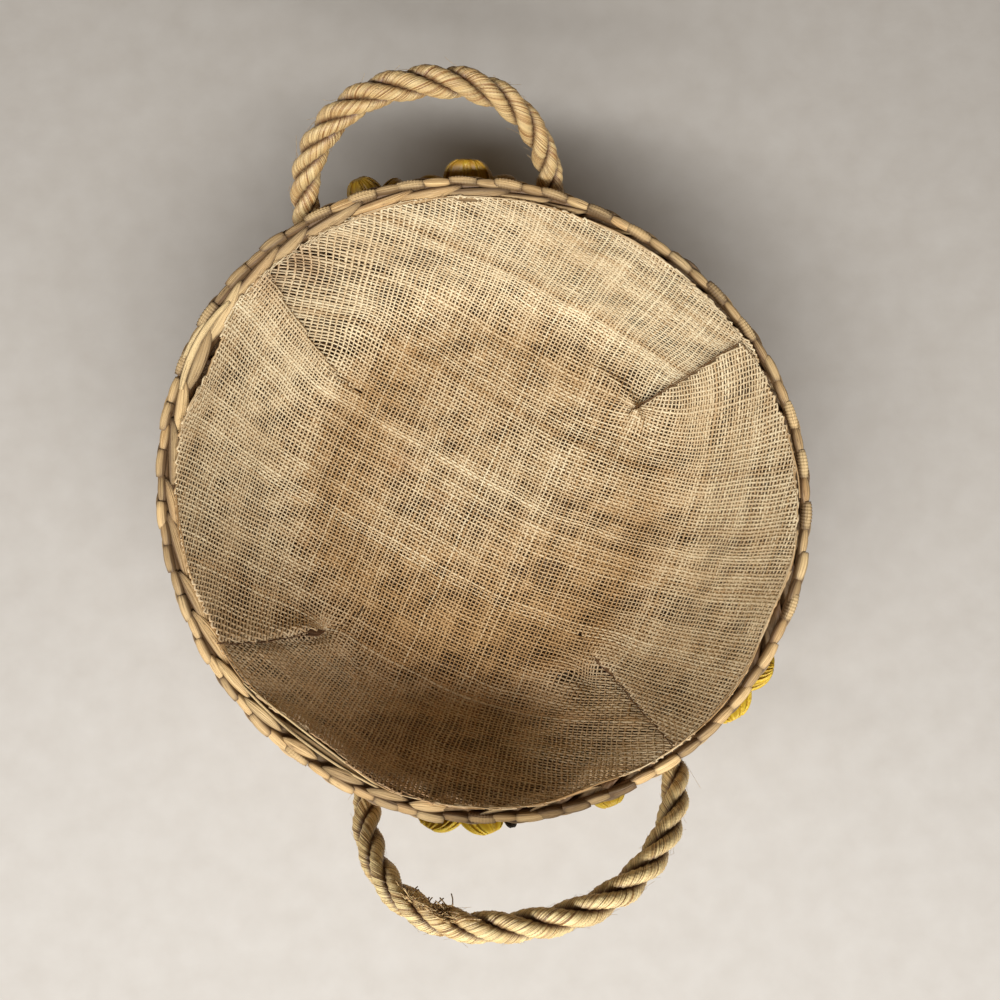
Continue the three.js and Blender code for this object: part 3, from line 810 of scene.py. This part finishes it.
def lining_profile():
    """Distance from the middle, radius, height and inward normal along the cloth's mid surface."""
    top = WALL_LENGTH - CLOTH_HEM_DROP + EDGE_RISE
    points = []
    for share in np.linspace(0, 1, 40):
        slack = CLOTH_SLACK * sin(pi / 2 * share)
        points.append(wall_place(top + (CLOTH_BEND_RISE - top) * share, -FACE - slack)[:2])
    floor = PLAIT_THICKNESS + SEAT
    start, corner = np.array(points[-1]), np.array([BASE_RADIUS - CLOTH_SLACK, floor])
    end = np.array([BASE_RADIUS - CLOTH_BEND_REACH, floor])
    for t in np.linspace(0, 1, 25)[1:]:
        points.append(start * (1 - t) ** 2 + 2 * corner * t * (1 - t) + end * t * t)
    for t in np.linspace(0, 1, 30)[1:]:
        points.append(np.array([end[0] * (1 - t), floor]))
    line = np.array(points)[::-1]
    padded = np.pad(line, ((2, 2), (0, 0)), mode="reflect", reflect_type="odd")
    line = np.stack([np.convolve(padded[:, k], np.ones(5) / 5, "valid") for k in (0, 1)], -1)
    line[0] = [0, floor]
    step = unit(np.gradient(line, axis=0))
    normal = np.stack([-step[:, 1], step[:, 0]], -1)
    line = line + normal * CLOTH_LIFT
    line[0, 0] = 0
    return distance(line), line[:, 0], line[:, 1], normal[:, 0], normal[:, 1]


FAR, CLOTH_R, CLOTH_Z, CLOTH_NR, CLOTH_NZ = lining_profile()
CLOTH_END = FAR[-1]


def cloth_point(azimuth, far, rise):
    """Point and normal of the lining at an azimuth in radians, a distance from the middle and a rise."""
    nr, nz = np.interp(far, FAR, CLOTH_NR), np.interp(far, FAR, CLOTH_NZ)
    r = np.interp(far, FAR, CLOTH_R) + nr * rise
    z = np.interp(far, FAR, CLOTH_Z) + nz * rise
    return around(r, z, azimuth), around(nr, nz, azimuth)


def hump(azimuth, at, width):
    """One at an azimuth in degrees, falling to nothing over a width in degrees."""
    off = (azimuth - radians(at) + pi) % TAU - pi
    return np.exp(-((off / radians(width / 2)) ** 2))


def edge_far(azimuth):
    """How far from the middle the raw edge lies."""
    return CLOTH_END - EDGE_ROOM - sum(drop * hump(azimuth, at, width) for at, width, drop in EDGE_DROPS)


def read_along(values, t):
    """Values spread evenly from 0 to 1, read at t."""
    return np.interp(t, np.linspace(0, 1, len(values)), values)


def waves(x, y, count, shortest, longest):
    """Soft random hills over a plane, about from -1 to 1."""
    total = np.zeros(np.broadcast(x, y).shape)
    for _ in range(count):
        turn, wave = rng.uniform(0, TAU), rng.uniform(shortest, longest)
        total += np.cos((x * cos(turn) + y * sin(turn)) * TAU / wave + rng.uniform(0, TAU))
    return total / sqrt(count)


def cloth_rise(azimuth, far):
    """Dents, bulges, folds and slack of the cloth."""
    x, y = flat_place(far, azimuth)
    rise = np.zeros(np.shape(far))
    for at, away, size, height in DENTS:
        px, py = polar(at, away)
        rise += height * np.exp(-((np.hypot(x - px, y - py) / size) ** 2))
    for azimuths, places, height, soft in FOLDS:
        t = np.linspace(0, 1, 24)
        px, py = flat_place(read_along(places, t), np.radians(read_along(azimuths, t)))
        dx, dy = x[..., None] - px, y[..., None] - py
        near = np.argmin(dx * dx + dy * dy, -1)
        gap = np.sqrt((dx * dx + dy * dy).min(-1))
        ways = np.gradient(px)[near], np.gradient(py)[near]
        left = soft * (ways[0] * (y - py[near]) - ways[1] * (x - px[near])) > 0
        slope = np.where(left, np.exp(-gap / abs(soft)), np.exp(-((gap / FOLD_EDGE) ** 2)))
        rise += height * np.sin(pi * t)[near] * slope
    for at, width, pull in EDGE_PULLS:
        rise += pull * hump(azimuth, at, width) * smooth(far, CLOTH_END - EDGE_PULL_REACH, CLOTH_END)
    return rise


def pinched(azimuth, far):
    """Azimuths and distances drawn towards the feet of the darts."""
    x, y = flat_place(far, azimuth)
    for at, away, size, pull in PINCHES:
        px, py = polar(at, away)
        share = pull * np.exp(-(((x - px) ** 2 + (y - py) ** 2) / size**2))
        x, y = x + (px - x) * share, y + (py - y) * share
    turn = (np.arctan2(y, x) - azimuth + pi) % TAU - pi
    return azimuth + turn, np.hypot(x, y)


def dart_azimuth(d, far):
    """Where dart d lies, in radians; dart -1 is the last one, a turn back."""
    top, foot, _ = DARTS[d]
    azimuth = np.interp(far, [FLOOR_END + DART_RUN, CLOTH_END], [foot, top])
    return np.radians(azimuth - (360 if d < 0 else 0))


def panel_map(p, gx, gy):
    """Where panel p puts points of the flat cloth: azimuth, distance out, and whether it has them."""
    a = pi / 2 * p
    t = gx * cos(a) + gy * sin(a)
    s = -gx * sin(a) + gy * cos(a)
    low, high = np.zeros(gx.shape), np.full(gx.shape, CLOTH_END)
    for _ in range(26):
        far = (low + high) / 2
        r = np.interp(far, FAR, CLOTH_R)
        beyond = s * s + (t - (far - r)) ** 2 > r * r
        low, high = np.where(beyond, far, low), np.where(beyond, high, far)
    r = np.interp(far, FAR, CLOTH_R)
    first, last = dart_azimuth(p - 1, far), dart_azimuth(p, far)
    middle = (first + last) / 2
    azimuth = np.arctan2(s, t - (far - r)) + radians(THREAD_TURN) + a
    azimuth = (azimuth - middle + pi) % TAU - pi + middle
    azimuth = azimuth + radians(SWIRL[p]) * smooth(far, FLOOR_END, CLOTH_END)
    tuck = radians(DART_TUCK) * smooth(far, FLOOR_END, FLOOR_END + TUCK_RUN)
    first = first - (tuck if DARTS[p - 1][2] < 0 else 0)
    last = last + (tuck if DARTS[p][2] > 0 else 0)
    has = (azimuth > first) & (azimuth < last) & (far < edge_far(azimuth)) & (t > 0) & (far > FLOOR_END)
    return (*pinched(azimuth, far), has)


def dart_step(d, far):
    """How far the proud side of dart d stands off."""
    places = [FLOOR_END + DART_FEET[d] + up for up in DART_UPS]
    return DART_STEPS[d] * np.interp(far, [*places, CLOTH_END], DART_HEIGHTS)


def panel_rise(p, azimuth, far):
    """How far a panel stands off along its darts: proud on one side of each, tucked under on the other."""
    rise = cloth_rise(azimuth, far)
    for d, way in ((p, 1), (p - 1, -1)):
        off = (dart_azimuth(d, far) - azimuth) * way
        if DARTS[d][2] == -way:
            rise += dart_step(d, far) * np.clip(1 - off / radians(DART_WIDTH), 0, 1) ** DART_POWER
        else:
            rise -= UNDER_DEPTH * DART_STEPS[d] * smooth(-off, *(radians(e) for e in UNDER_SPAN))
    return rise


def flat_threads(name):
    """Places of parallel threads on the flat cloth: close in some bands and open in others."""
    pitch = THREADS[name]["pitch"]
    count = int(2 * CLOTH_REACH / pitch)
    gap = 1 + wander(turns(count), *GAP_WAVES) + rng.normal(0, GAP_JITTER, count)
    place = np.cumsum(pitch * np.clip(gap, *SIZE_RANGE))
    return place - place[-1] / 2


def stain_share(points):
    total = np.zeros(points.shape[:-1])
    for x, y, size, strength in STAINS:
        away = np.hypot(points[..., 0] - x, points[..., 1] - y)
        total = np.maximum(total, strength * np.exp(-((away / size) ** 2)))
    return total


def take_run(free, m, k, way=1):
    """Takes the free places of map m from place k on."""
    run = []
    while 0 <= k < len(free[m]) and free[m][k]:
        free[m][k] = False
        run.append((m, k))
        k += way
    return run


def climb(free, k, way):
    """Goes on from the end of a floor run up the wall panel that takes the thread over."""
    return next(filter(None, (take_run(free, p, k + way, way) for p in range(4))), [])


def thread_runs(masks):
    """Runs of one thread as (map, place along it): over the floor and on up the walls, then the rest."""
    free = [mask.copy() for mask in masks]
    floor = len(free) - 1
    runs = []
    for m in (floor, 0, 1, 2, 3):
        for k in range(len(free[m])):
            run = take_run(free, m, k)
            if run and m == floor:
                run = climb(free, run[0][1], -1)[::-1] + run + climb(free, run[-1][1], 1)
            if len(run) > 1:
                runs.append(run)
    return runs


def add_thread(shape, p, normals, rise, stain_and_shade, width, tone):
    """One run of a thread: a low three-cornered tube, with a painted highlight along its top and painted
    shade at its edges.
    """
    tangent = unit(np.gradient(p, axis=0))
    side = unit(np.cross(normals, tangent))
    wide = (width * (1 + rng.normal(0, 0.1, len(p))))[:, None] / 2
    middle = p + normals * rise[:, None] + side * rng.normal(0, 0.08, len(p))[:, None]
    low, high = normals * (-0.4 * THREAD_HEIGHT), normals * (0.6 * THREAD_HEIGHT)
    grid = np.stack([middle + side * wide + low, middle + high, middle - side * wide + low], 1)
    grain = grid_of(distance(p)[:, None], np.array([-1.0, 0, 1]), rng.uniform(0, GRAIN_SHIFT))
    shape.add(grid, grain, tone[:, None] + np.array(THREAD_TONES), stain_and_shade[:, None])


def add_lining():
    x, y = np.meshgrid(flat_threads("weft"), flat_threads("warp"), indexing="ij")
    gx = x + THREAD_STRAY * waves(x, y, *STRAY_WAVES) + WEFT_LEAN * y
    curved = np.clip(gx, 0, WARP_BEND_END)
    bend = WARP_BEND * (curved**2 + 2 * curved * np.maximum(gx - WARP_BEND_END, 0))
    gy = y + THREAD_STRAY * waves(x, y, *STRAY_WAVES) + bend
    maps = [panel_map(p, gx, gy) for p in range(4)]
    rises = [panel_rise(p, *maps[p][:2]) for p in range(4)]
    far = np.hypot(gx, gy)
    maps.append((*pinched(np.arctan2(gy, gx) + radians(THREAD_TURN), far), far <= FLOOR_END))
    rises.append(cloth_rise(*maps[-1][:2]))
    azimuth, far, masks = (np.array(m) for m in zip(*maps))
    points, normals = cloth_point(azimuth, far, np.array(rises))
    ripple = RIPPLE + RIPPLE * waves(x, y, *RIPPLE_WAVES)
    points = points + normals * np.clip(ripple, 0, RIPPLE_MOST)[..., None]
    wall_share = smooth(far, *WALL_SPAN)
    # Real stains, and painted shade browning the front wall
    stain_and_shade = np.maximum(stain_share(points), PAINTED_WALL_SHADE_SHARE * hump(azimuth, *PAINTED_WALL_SHADE) * wall_share)
    px, py = points[..., 0], points[..., 1]
    # How much darker the floor is painted: painted shade towards its edge, darker to the left, painted
    # shadow to the front
    floor_darkening = FLOOR_SHADE_BASE + FLOOR_SHADE_TO_EDGE * np.minimum(1, np.hypot(px, py) / FLOOR_END) ** 2
    floor_darkening = floor_darkening - px / DARKER_TO_LEFT + np.maximum(0, -py) / FLOOR_SHADOW_TO_FRONT
    closed = np.clip(1 + CLOSE_SIZE * waves(x, y, *CLOSE_WAVES), *CLOSE_RANGE)
    parity = np.indices(gx.shape).sum(0) % 2 * 2 - 1
    pieces = []
    for name, thread in THREADS.items():
        shape = Shape()
        axis = thread["axis"]
        lift = parity * (1 if axis else -1)
        for line in range(gx.shape[axis]):
            width = thread["width"] * np.clip(rng.normal(1, WIDTH_JITTER), *SIZE_RANGE)
            tone = np.clip(rng.normal(thread["tone"], TONE_JITTER), *TONE_RANGE)
            for run in thread_runs(masks.take(line, axis + 1)):
                m, k = np.array(run).T
                at = (m, k, line) if axis else (m, line, k)
                rise = THREAD_LIFT * lift[at[1:]] + thread["proud"]
                # Painted shade and shadow on the floor, and darker to the left
                shade = tone - FLOOR_SHADE * (1 - wall_share[at]) * floor_darkening[at]
                add_thread(shape, points[at], normals[at], rise, stain_and_shade[at], width * closed[at[1:]], shade)
        pieces.append(shape.make(f"lining_{name}", "lining_cloth", ["lining"]))
    return pieces


def add_edge():
    """The raw edge: threads that run along the rim and the darts, and loose ends. Those along the darts are
    dark, a painted shadow of each fold.
    """
    shape = Shape()
    for _ in range(EDGE_THREADS):
        start = rng.uniform(*EDGE_BUSY) if rng.random() < EDGE_BUSY_SHARE else rng.uniform(0, 360)
        t = radians(start) + np.linspace(0, rng.uniform(0.06, 0.3), 40)
        far = edge_far(t) - rng.uniform(0, 1.8) + wander(t, 6, 0.4, 5)
        rise = cloth_rise(t, far) + rng.uniform(0.3, 0.9) + wander(t, 6, 0.2, 5)
        shape.sweep(*cloth_point(t, far, rise), rng.uniform(0.2, 0.42), 0.24, 6, rng.normal(0.2, 0.5))
    # Dark seam threads along the deep darts, a painted shadow of each fold that widens into a painted
    # shadow of its mouth
    for d, (_, _, side) in enumerate(DARTS):
        for k in range(SEAM_THREADS if DART_STEPS[d] > DEEP_DART else 0):
            far = np.linspace(FLOOR_END + 9 + DART_FEET[d], CLOTH_END - 2, 60)
            t = dart_azimuth(d, far) + side * 0.6 * k / far + 0.004 * wander(far / 30, 12, 1.0)
            line, normal = cloth_point(t, far, cloth_rise(t, far) + dart_step(d, far) + 0.55 - 0.1 * k)
            wide = 0.22 + SEAM_SHADOW_WIDTHS[d] * np.sin(pi * np.clip((far - far[0]) / SEAM_SHADOW_LENGTH, 0, 1))
            shape.sweep(line, normal, wide, 0.22, 6, rng.normal(SEAM_SHADOW_TONES[d], 0.2), 0.2)
    for first, last, count in FRAYS:
        for _ in range(count):
            azimuth = radians(rng.uniform(first, last))
            s = np.linspace(0, 1, 6)
            long = rng.uniform(*FRAY_LENGTH)
            turn = azimuth + rng.choice([-1, 1]) * long * rng.uniform(0.5, 1) * s / RIM_RADIUS
            far = edge_far(turn) - 1 + long * rng.uniform(-0.35, 0.45) * s
            rise = cloth_rise(turn, far) + 0.8 + 1.2 * s * rng.uniform(0.2, 1)
            line, normal = cloth_point(turn, np.minimum(far, CLOTH_END + 1), rise)
            shape.sweep(line, normal, 0.2, 0.14, 4, 0.9)
    return shape.make("lining_edge", "lining_cloth")


# Laid rope

ROPE_STRANDS = 3
ROPE_CORNERS = 48
ROPE_RIDGES = (4, 7, 11)  # ridges of fibre round a strand
STRAND_RADIUS = 3.2
STRAND_PATH = 3.6
FIBRE_TWIST = 0.55  # radians a millimetre, against the lay
TWIST_RADIUS = 3.1  # of a strand with that twist; thinner ones twist faster
FIBRES = 4.3  # fineness of the bundles of fibre seen round a strand
RIDGE_HEIGHT = 0.2
# Painted shade in the grooves between the strands: how dark, and over what part of a strand's round
GROOVE_SHADE = 0.92
GROOVE_SPAN = (-0.6, 0.35)
FOOT_OUT = PLAIT_THICKNESS / 2 + 2 * SEAT + LASHING_THICKNESS + ROPE_RADIUS
TAIL_TOP = 5  # the straight tails end this far below the foot
HAIRS = [(220, (2.5, 6), 0.12), (16, (8, 15), 0.13)]  # number, reach and thickness of the stray fibres
SPLICE = (-48, -168)  # where a worn splice sits on the front rope
SPLICE_ENDS = 170
SPLICE_HALF = 0.3  # half the thickness of an end
SPLICE_REACH = 13  # points of the line on each side
SPLICE_ROOT = 4.4
SPLICE_SHORT = (2, 5)
SPLICE_LONG = (5, 10)
SHORT_SHARE = 0.93
LASHING_TURNS = 6
LASHING_RIDGES = (3,)
LASHING_ROOM = 0.6
LASHING_YARN = (0.29, 0.22, 3.2)  # radius, path and lay of a yarn, as shares of the cord's thickness


def handle_line(handle):
    """Middle of the rope from one lashed end over the arch to the other, evenly spaced, and its feet."""
    foot_radius, foot_height, _ = wall_place(HANDLE_FOOT_RISE, FOOT_OUT)
    chord = foot_radius * cos(asin(handle["half_span"] / foot_radius))
    turn = radians(handle["azimuth"] + 90)
    lean = pi / 2 + radians(HANDLE_LEAN)
    power = 2 / ARCH_FULLNESS
    points = []
    for t in np.linspace(0, pi, 81):
        c, s = cos(t), sin(t)
        up = handle["rise"] * abs(s) ** power
        x = handle["half_span"] * copysign(abs(c) ** power, c) + handle["sway"] * up / handle["rise"]
        y, z = -chord + up * cos(lean), foot_height + up * sin(lean)
        points.append([x * cos(turn) - y * sin(turn), x * sin(turn) + y * cos(turn), z])
    ends = [degrees(atan2(tip[1], tip[0])) for tip in (points[0], points[-1])]
    drops = np.linspace(TAIL_LENGTH + ROPE_RADIUS, TAIL_TOP, 12)
    first, last = [[wall_frame(e, HANDLE_FOOT_RISE - d, FOOT_OUT)[0] for d in drops] for e in ends]
    line = even(np.concatenate([first, points[2:-2], last[::-1]]), 1.0)
    for _ in range(30):
        line[1:-1] = (line[:-2] + 2 * line[1:-1] + line[2:]) / 4
    return even(line, 0.8), ends


def steady_frame(line):
    """Tangent and two sides along a line, turning as little as they can."""
    tangent = unit(np.gradient(line, axis=0))
    side = np.zeros_like(line)
    side[0] = unit(np.cross(tangent[0], [0.3, 0.5, 0.8]))
    for i in range(1, len(line)):
        side[i] = unit(side[i - 1] - tangent[i] * (side[i - 1] @ tangent[i]))
    return tangent, side, np.cross(tangent, side)


def turned(side, other, angle):
    """Directions turned by an angle from one side towards another."""
    return side * np.cos(angle)[..., None] + other * np.sin(angle)[..., None]


def add_strand(shape, line, radius, path, lay, phase, corners, ridges, painted_shading=0.0):
    """One strand of a rope as a tube with fine ridges of fibre that wind round it."""
    _, side, other = steady_frame(line)
    far = distance(line)
    turn = TAU * far / lay + phase
    out = turned(side, other, turn)
    swell = 1 + 0.04 * np.sin(far / 11 + phase) + 0.03 * np.sin(far / 5.3 + 2 * phase)
    centre = line + out * (path * swell)[:, None]
    along = unit(np.gradient(centre, axis=0))
    away = unit(out - along * (out * along).sum(-1, keepdims=True))
    cross = np.cross(along, away)
    a = turns(corners)
    twisted = a + far[:, None] * FIBRE_TWIST * TWIST_RADIUS / radius
    rough = sum(0.35 / k * np.sin(m * twisted + rng.uniform(0, TAU)) for k, m in enumerate(ridges, 1))
    r = radius * swell[:, None] * (1 + RIDGE_HEIGHT * rough)
    ring = turned(away[:, None], cross[:, None], a)
    # Painted shading: a positive value darkens the strand as painted shade, a negative one lightens it as
    # painted light
    tone = rng.normal(-painted_shading, 0.25) + wander(far / far[-1] * pi, 12, 0.3)
    height = far[:, None] * 0.05 + phase * 9
    grain = around(FIBRES, height, twisted)
    # Painted shade on the side of the strand that faces the rope's middle
    groove = GROOVE_SHADE * smooth(-np.cos(a), *GROOVE_SPAN)
    shape.add(centre[:, None] + r[..., None] * ring, grain, tone[:, None], groove)


def add_hairs(shape, line, count, reach, thick):
    """Stray fibres that leave the rope and curl away."""
    tangent, side, other = steady_frame(line)
    t = np.linspace(0, 1, 6)[:, None]
    for _ in range(count):
        i = rng.integers(4, len(line) - 4)
        a = rng.uniform(0, TAU)
        out = side[i] * cos(a) + other[i] * sin(a)
        round_it = np.cross(tangent[i], out)
        long = rng.uniform(*reach)
        away = out * (ROPE_RADIUS * 0.93 + long * rng.uniform(0.05, 0.5) * t**1.5)
        on = tangent[i] * long * t * rng.choice([-1, 1])
        bend = round_it * long * rng.uniform(-0.5, 0.5) * t**2
        shape.sweep(line[i] + away + on + bend, out, thick / 2, thick / 2, 4, rng.normal(0.2, 0.4))


def add_splice(shape, line):
    """The worn splice: short broken ends that stand out of the rope towards the bowl."""
    at = np.argmin(np.hypot(line[:, 0] - SPLICE[0], line[:, 1] - SPLICE[1]))
    tangent, _, _ = steady_frame(line)
    inward = unit(np.array([-line[at, 0], -line[at, 1], 0.25 * abs(line[at, 1])]))
    t = np.linspace(0, 1, 5)[:, None]
    for _ in range(SPLICE_ENDS):
        i = at + rng.integers(-SPLICE_REACH, SPLICE_REACH + 1)
        lean = inward + tangent[i] * rng.normal(0, 0.7) + np.array([0, 0, 1.0]) * rng.normal(0.3, 0.5)
        long = rng.uniform(*(SPLICE_SHORT if rng.random() < SHORT_SHARE else SPLICE_LONG))
        bend = tangent[i] * rng.normal(0, 0.6) * long * t**2
        end = line[i] + unit(lean) * (SPLICE_ROOT + long * t) + bend
        shape.sweep(end, tangent[i], SPLICE_HALF, SPLICE_HALF, 4, rng.normal(-0.1, 0.5))


def add_handles():
    """Both handles, with the azimuths of their feet."""
    feet = {}
    for name, handle in HANDLES.items():
        line, ends = handle_line(handle)
        shape = Shape()
        for k in range(ROPE_STRANDS):
            sizes = (STRAND_RADIUS, STRAND_PATH, handle["lay"], TAU * k / ROPE_STRANDS)
            add_strand(shape, line, *sizes, ROPE_CORNERS, ROPE_RIDGES, handle["painted_shading"])
        nodes = [f"{name}_{n}" for n in ("rope", "left_tail", "right_tail")]
        piece = shape.make(f"rope_{name}", "rope", nodes, None)
        hairs = Shape()
        for hair in HAIRS:
            add_hairs(hairs, line, *hair)
        if name == "front":
            add_splice(hairs, line)
        fuzz = hairs.make(f"rope_hairs_{name}", "rope", body=None)
        right, left = sorted(ends, key=lambda e: -cos(radians(e)))
        feet[f"{name}_right"], feet[f"{name}_left"] = right % 360, left % 360
        for part in (piece, fuzz):
            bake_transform(part)
        path = warp(line) * MM
    return feet


def add_lashings(feet):
    """Turns of thin cord round each rope end, drawn flat against the wall."""
    thick = LASHING_WIDTH / LASHING_TURNS
    radius = ROPE_RADIUS + SEAT + LASHING_ROOM
    a = np.linspace(-0.25, 1.25, 64) * pi
    over = np.clip(a, 0, pi)
    below = np.where(a < 0, a, np.where(a > pi, pi - a, 0)) * 1.35
    x, z = radius * np.cos(over), radius * (np.sin(over) + below)
    for name, azimuth in feet.items():
        origin, across, up, out = wall_frame(azimuth, HANDLE_FOOT_RISE, FOOT_OUT)
        shape = Shape()
        for k in range(LASHING_TURNS):
            level = -ROPE_RADIUS - SEAT - LASHING_DROP - (k + 0.5) * thick + rng.normal(0, 0.2) * np.sin(a)
            line = even(in_frame(origin, (across, out, up), x, z, level), 0.6)
            for yarn in range(2):
                sizes = [thick * share for share in LASHING_YARN]
                add_strand(shape, line, *sizes, pi * yarn, 8, LASHING_RIDGES)
        shape.make(f"lashing_{name}", "lashing_cord", [f"{name}_lashing"])


# Raffia flowers

PETAL_ROWS = 26
PETAL_CORNERS = 64
PETAL_RIBS = (17, 23, 29)
PETAL_STRIPS = 12
PETAL_FIBRES = 7  # fineness of the ribs in the raffia's colour


def add_petal(shape, origin, axes, size, turn, tilt, press=1.0, painted_shading=0.0):
    """A puffed loop of raffia, ribbed from its root to its tip, with loose strips laid over it."""
    long, wide, thick = size["length"] / 2, size["width"] / 2, size["thickness"] / 2
    ct, st = polar(tilt, 1)
    cr, sr = polar(turn, 1)
    hang = hypot(long * st, thick * ct)

    def place(t, a, grow):
        body = np.sin(t) ** 0.8 * grow
        x, y, z = -long * np.cos(t), wide * body * np.cos(a), thick * body * np.sin(a)
        px, pz = x * ct - z * st + size["ring"], press * (x * st + z * ct + hang)
        fx, fy = px * cr - y * sr, px * sr + y * cr
        return in_frame(origin, axes, fx, fy, pz)

    t = np.linspace(0.04, 0.96, PETAL_ROWS)[:, None] * pi
    a = turns(PETAL_CORNERS)
    ribs = sum(rng.uniform(0.2, 0.5) * np.sin(m * a + rng.uniform(0, TAU)) for m in PETAL_RIBS)
    ribs = np.abs(ribs) * 0.09
    grain = around(PETAL_FIBRES, t * 0.5 + rng.uniform(0, 50), a)
    old = rng.normal(0, 0.4)
    # Deep colour in the hollows between the ribs and over the rear flowers: painted shade
    shape.add(place(t, a, 1 - ribs * np.sin(t)), grain, old, ribs * 4 + painted_shading)
    t = np.linspace(0.1, 0.9, 20) * pi
    for _ in range(PETAL_STRIPS):
        a = rng.uniform(0, TAU) + rng.normal(0, 0.15) * (t / pi)
        line = place(t, a, 1.0)
        taper = np.sin(t) ** 0.5 * size["width"] * rng.uniform(0.03, 0.06)
        shape.sweep(line, line - place(t, a, 0.0), taper, 0.3, 8, old + rng.normal(0.3, 0.4), painted_shading)


def add_flowers(feet):
    lashing_half = ROPE_RADIUS + SEAT + LASHING_THICKNESS
    wall_radius = wall_place(FLOWER_RISE, FACE)[0]
    for name, (foot, side, gap, turn, size, press, painted_shading, slip) in FLOWERS.items():
        reach = size["ring"] + size["length"] / 2
        azimuth = feet[foot] + side * degrees((lashing_half + gap + reach) / wall_radius)
        origin, *axes = wall_frame(azimuth, FLOWER_RISE, FACE)
        shape = Shape()
        for i in range(PETALS):
            add_petal(shape, origin, axes, size, turn + slip + 360 * i / PETALS, PETAL_TILT, press, painted_shading)
        shape.make(f"raffia_petals_{name}", "yellow_raffia", [f"flower_{name}_petals"])
        add_button(name, origin, axes, size, press)
        if name == LEAF_FLOWER:
            add_leaf(azimuth + degrees((LEAF["across"] + LEAF_SLIP) / wall_radius))


def add_button(name, origin, axes, size, press):
    """The flower's middle: raffia wound into a small dome."""
    shape = Shape()
    t = np.linspace(0.02, 0.98, 40)[:, None] * pi
    a = turns(40)
    r = size["centre"] * np.sin(t) * (1 + 0.05 * np.sin(14 * t) + 0.02 * np.sin(9 * a))
    z = min(1, 0.3 + 0.7 * press) * size["height"] / 2 * (1 - np.cos(t))
    grid = in_frame(origin, axes, *flat_place(r, a), z)
    shape.add(grid, grid_of(t * 9, np.cos(a), np.sin(a)))
    shape.make(f"raffia_button_{name}", "dark_raffia", [f"flower_{name}_centre"])


def add_leaf(azimuth):
    """A narrow dark leaf beside a flower."""
    origin, *axes = wall_frame(azimuth, FLOWER_RISE + LEAF["up"], FACE)
    shape = Shape()
    add_petal(shape, origin, axes, LEAF, LEAF["turn"], LEAF_TILT)
    shape.make("raffia_leaf", "dark_raffia", ["dark_leaf"])


# Camera, light and floor, with the light and the floor in metres

CAMERA = (8.2, -1.3, 501)
CAMERA_TURN = -8.85
LENS = 32.4
SENSOR = 36
AMBIENT = (0.1, 0.078, 0.054)
KEY = {"azimuth": 255, "height": 1.08, "away": 0.68, "wide": 2.7, "tall": 0.2, "power": 36}
KEY_AIM = 0.05
FLOOR_HALF = 3
FLOOR_DROP = 0.0002


def add_object(name, data):
    made = bpy.data.objects.new(name, data)
    bpy.context.scene.collection.objects.link(made)
    return made


def add_camera():
    camera = bpy.data.cameras.new("camera")
    camera.lens = LENS
    camera.sensor_width = SENSOR
    camera.clip_start = 0.01
    made = add_object("camera", camera)
    made.location = [c * MM for c in CAMERA]
    made.rotation_euler = (0, 0, radians(CAMERA_TURN))
    bpy.context.scene.camera = made


def add_light():
    world = bpy.data.worlds.new("world")
    world.use_nodes = True
    background = world.node_tree.nodes["Background"]
    background.inputs["Color"].default_value = (*AMBIENT, 1)
    background.inputs["Strength"].default_value = 1
    bpy.context.scene.world = world
    lamp = bpy.data.lights.new("key", "AREA")
    lamp.shape = "RECTANGLE"
    lamp.size, lamp.size_y = KEY["wide"], KEY["tall"]
    lamp.energy = KEY["power"]
    made = add_object("key", lamp)
    made.location = (*polar(KEY["azimuth"], KEY["away"]), KEY["height"])
    aim = Vector((0, 0, KEY_AIM)) - made.location
    made.rotation_euler = aim.to_track_quat("-Z", "Y").to_euler()


def add_floor():
    mesh = bpy.data.meshes.new("floor")
    corners = [(x * FLOOR_HALF, y * FLOOR_HALF, 0) for x, y in ((-1, -1), (1, -1), (1, 1), (-1, 1))]
    mesh.from_pydata(corners, [], [(0, 1, 2, 3)])
    mesh.materials.append(floor_look())
    floor = add_object("floor", mesh)
    floor.location.z = -FLOOR_DROP


bpy.context.scene.view_settings.view_transform = "Standard"
add_camera()
foot_azimuths = add_handles()
add_wall()
add_crest()
add_base()
add_base_start()
warp_threads, weft_threads = add_lining()
cloth_edge = add_edge()
add_lashings(foot_azimuths)
add_flowers(foot_azimuths)
add_light()
add_floor()
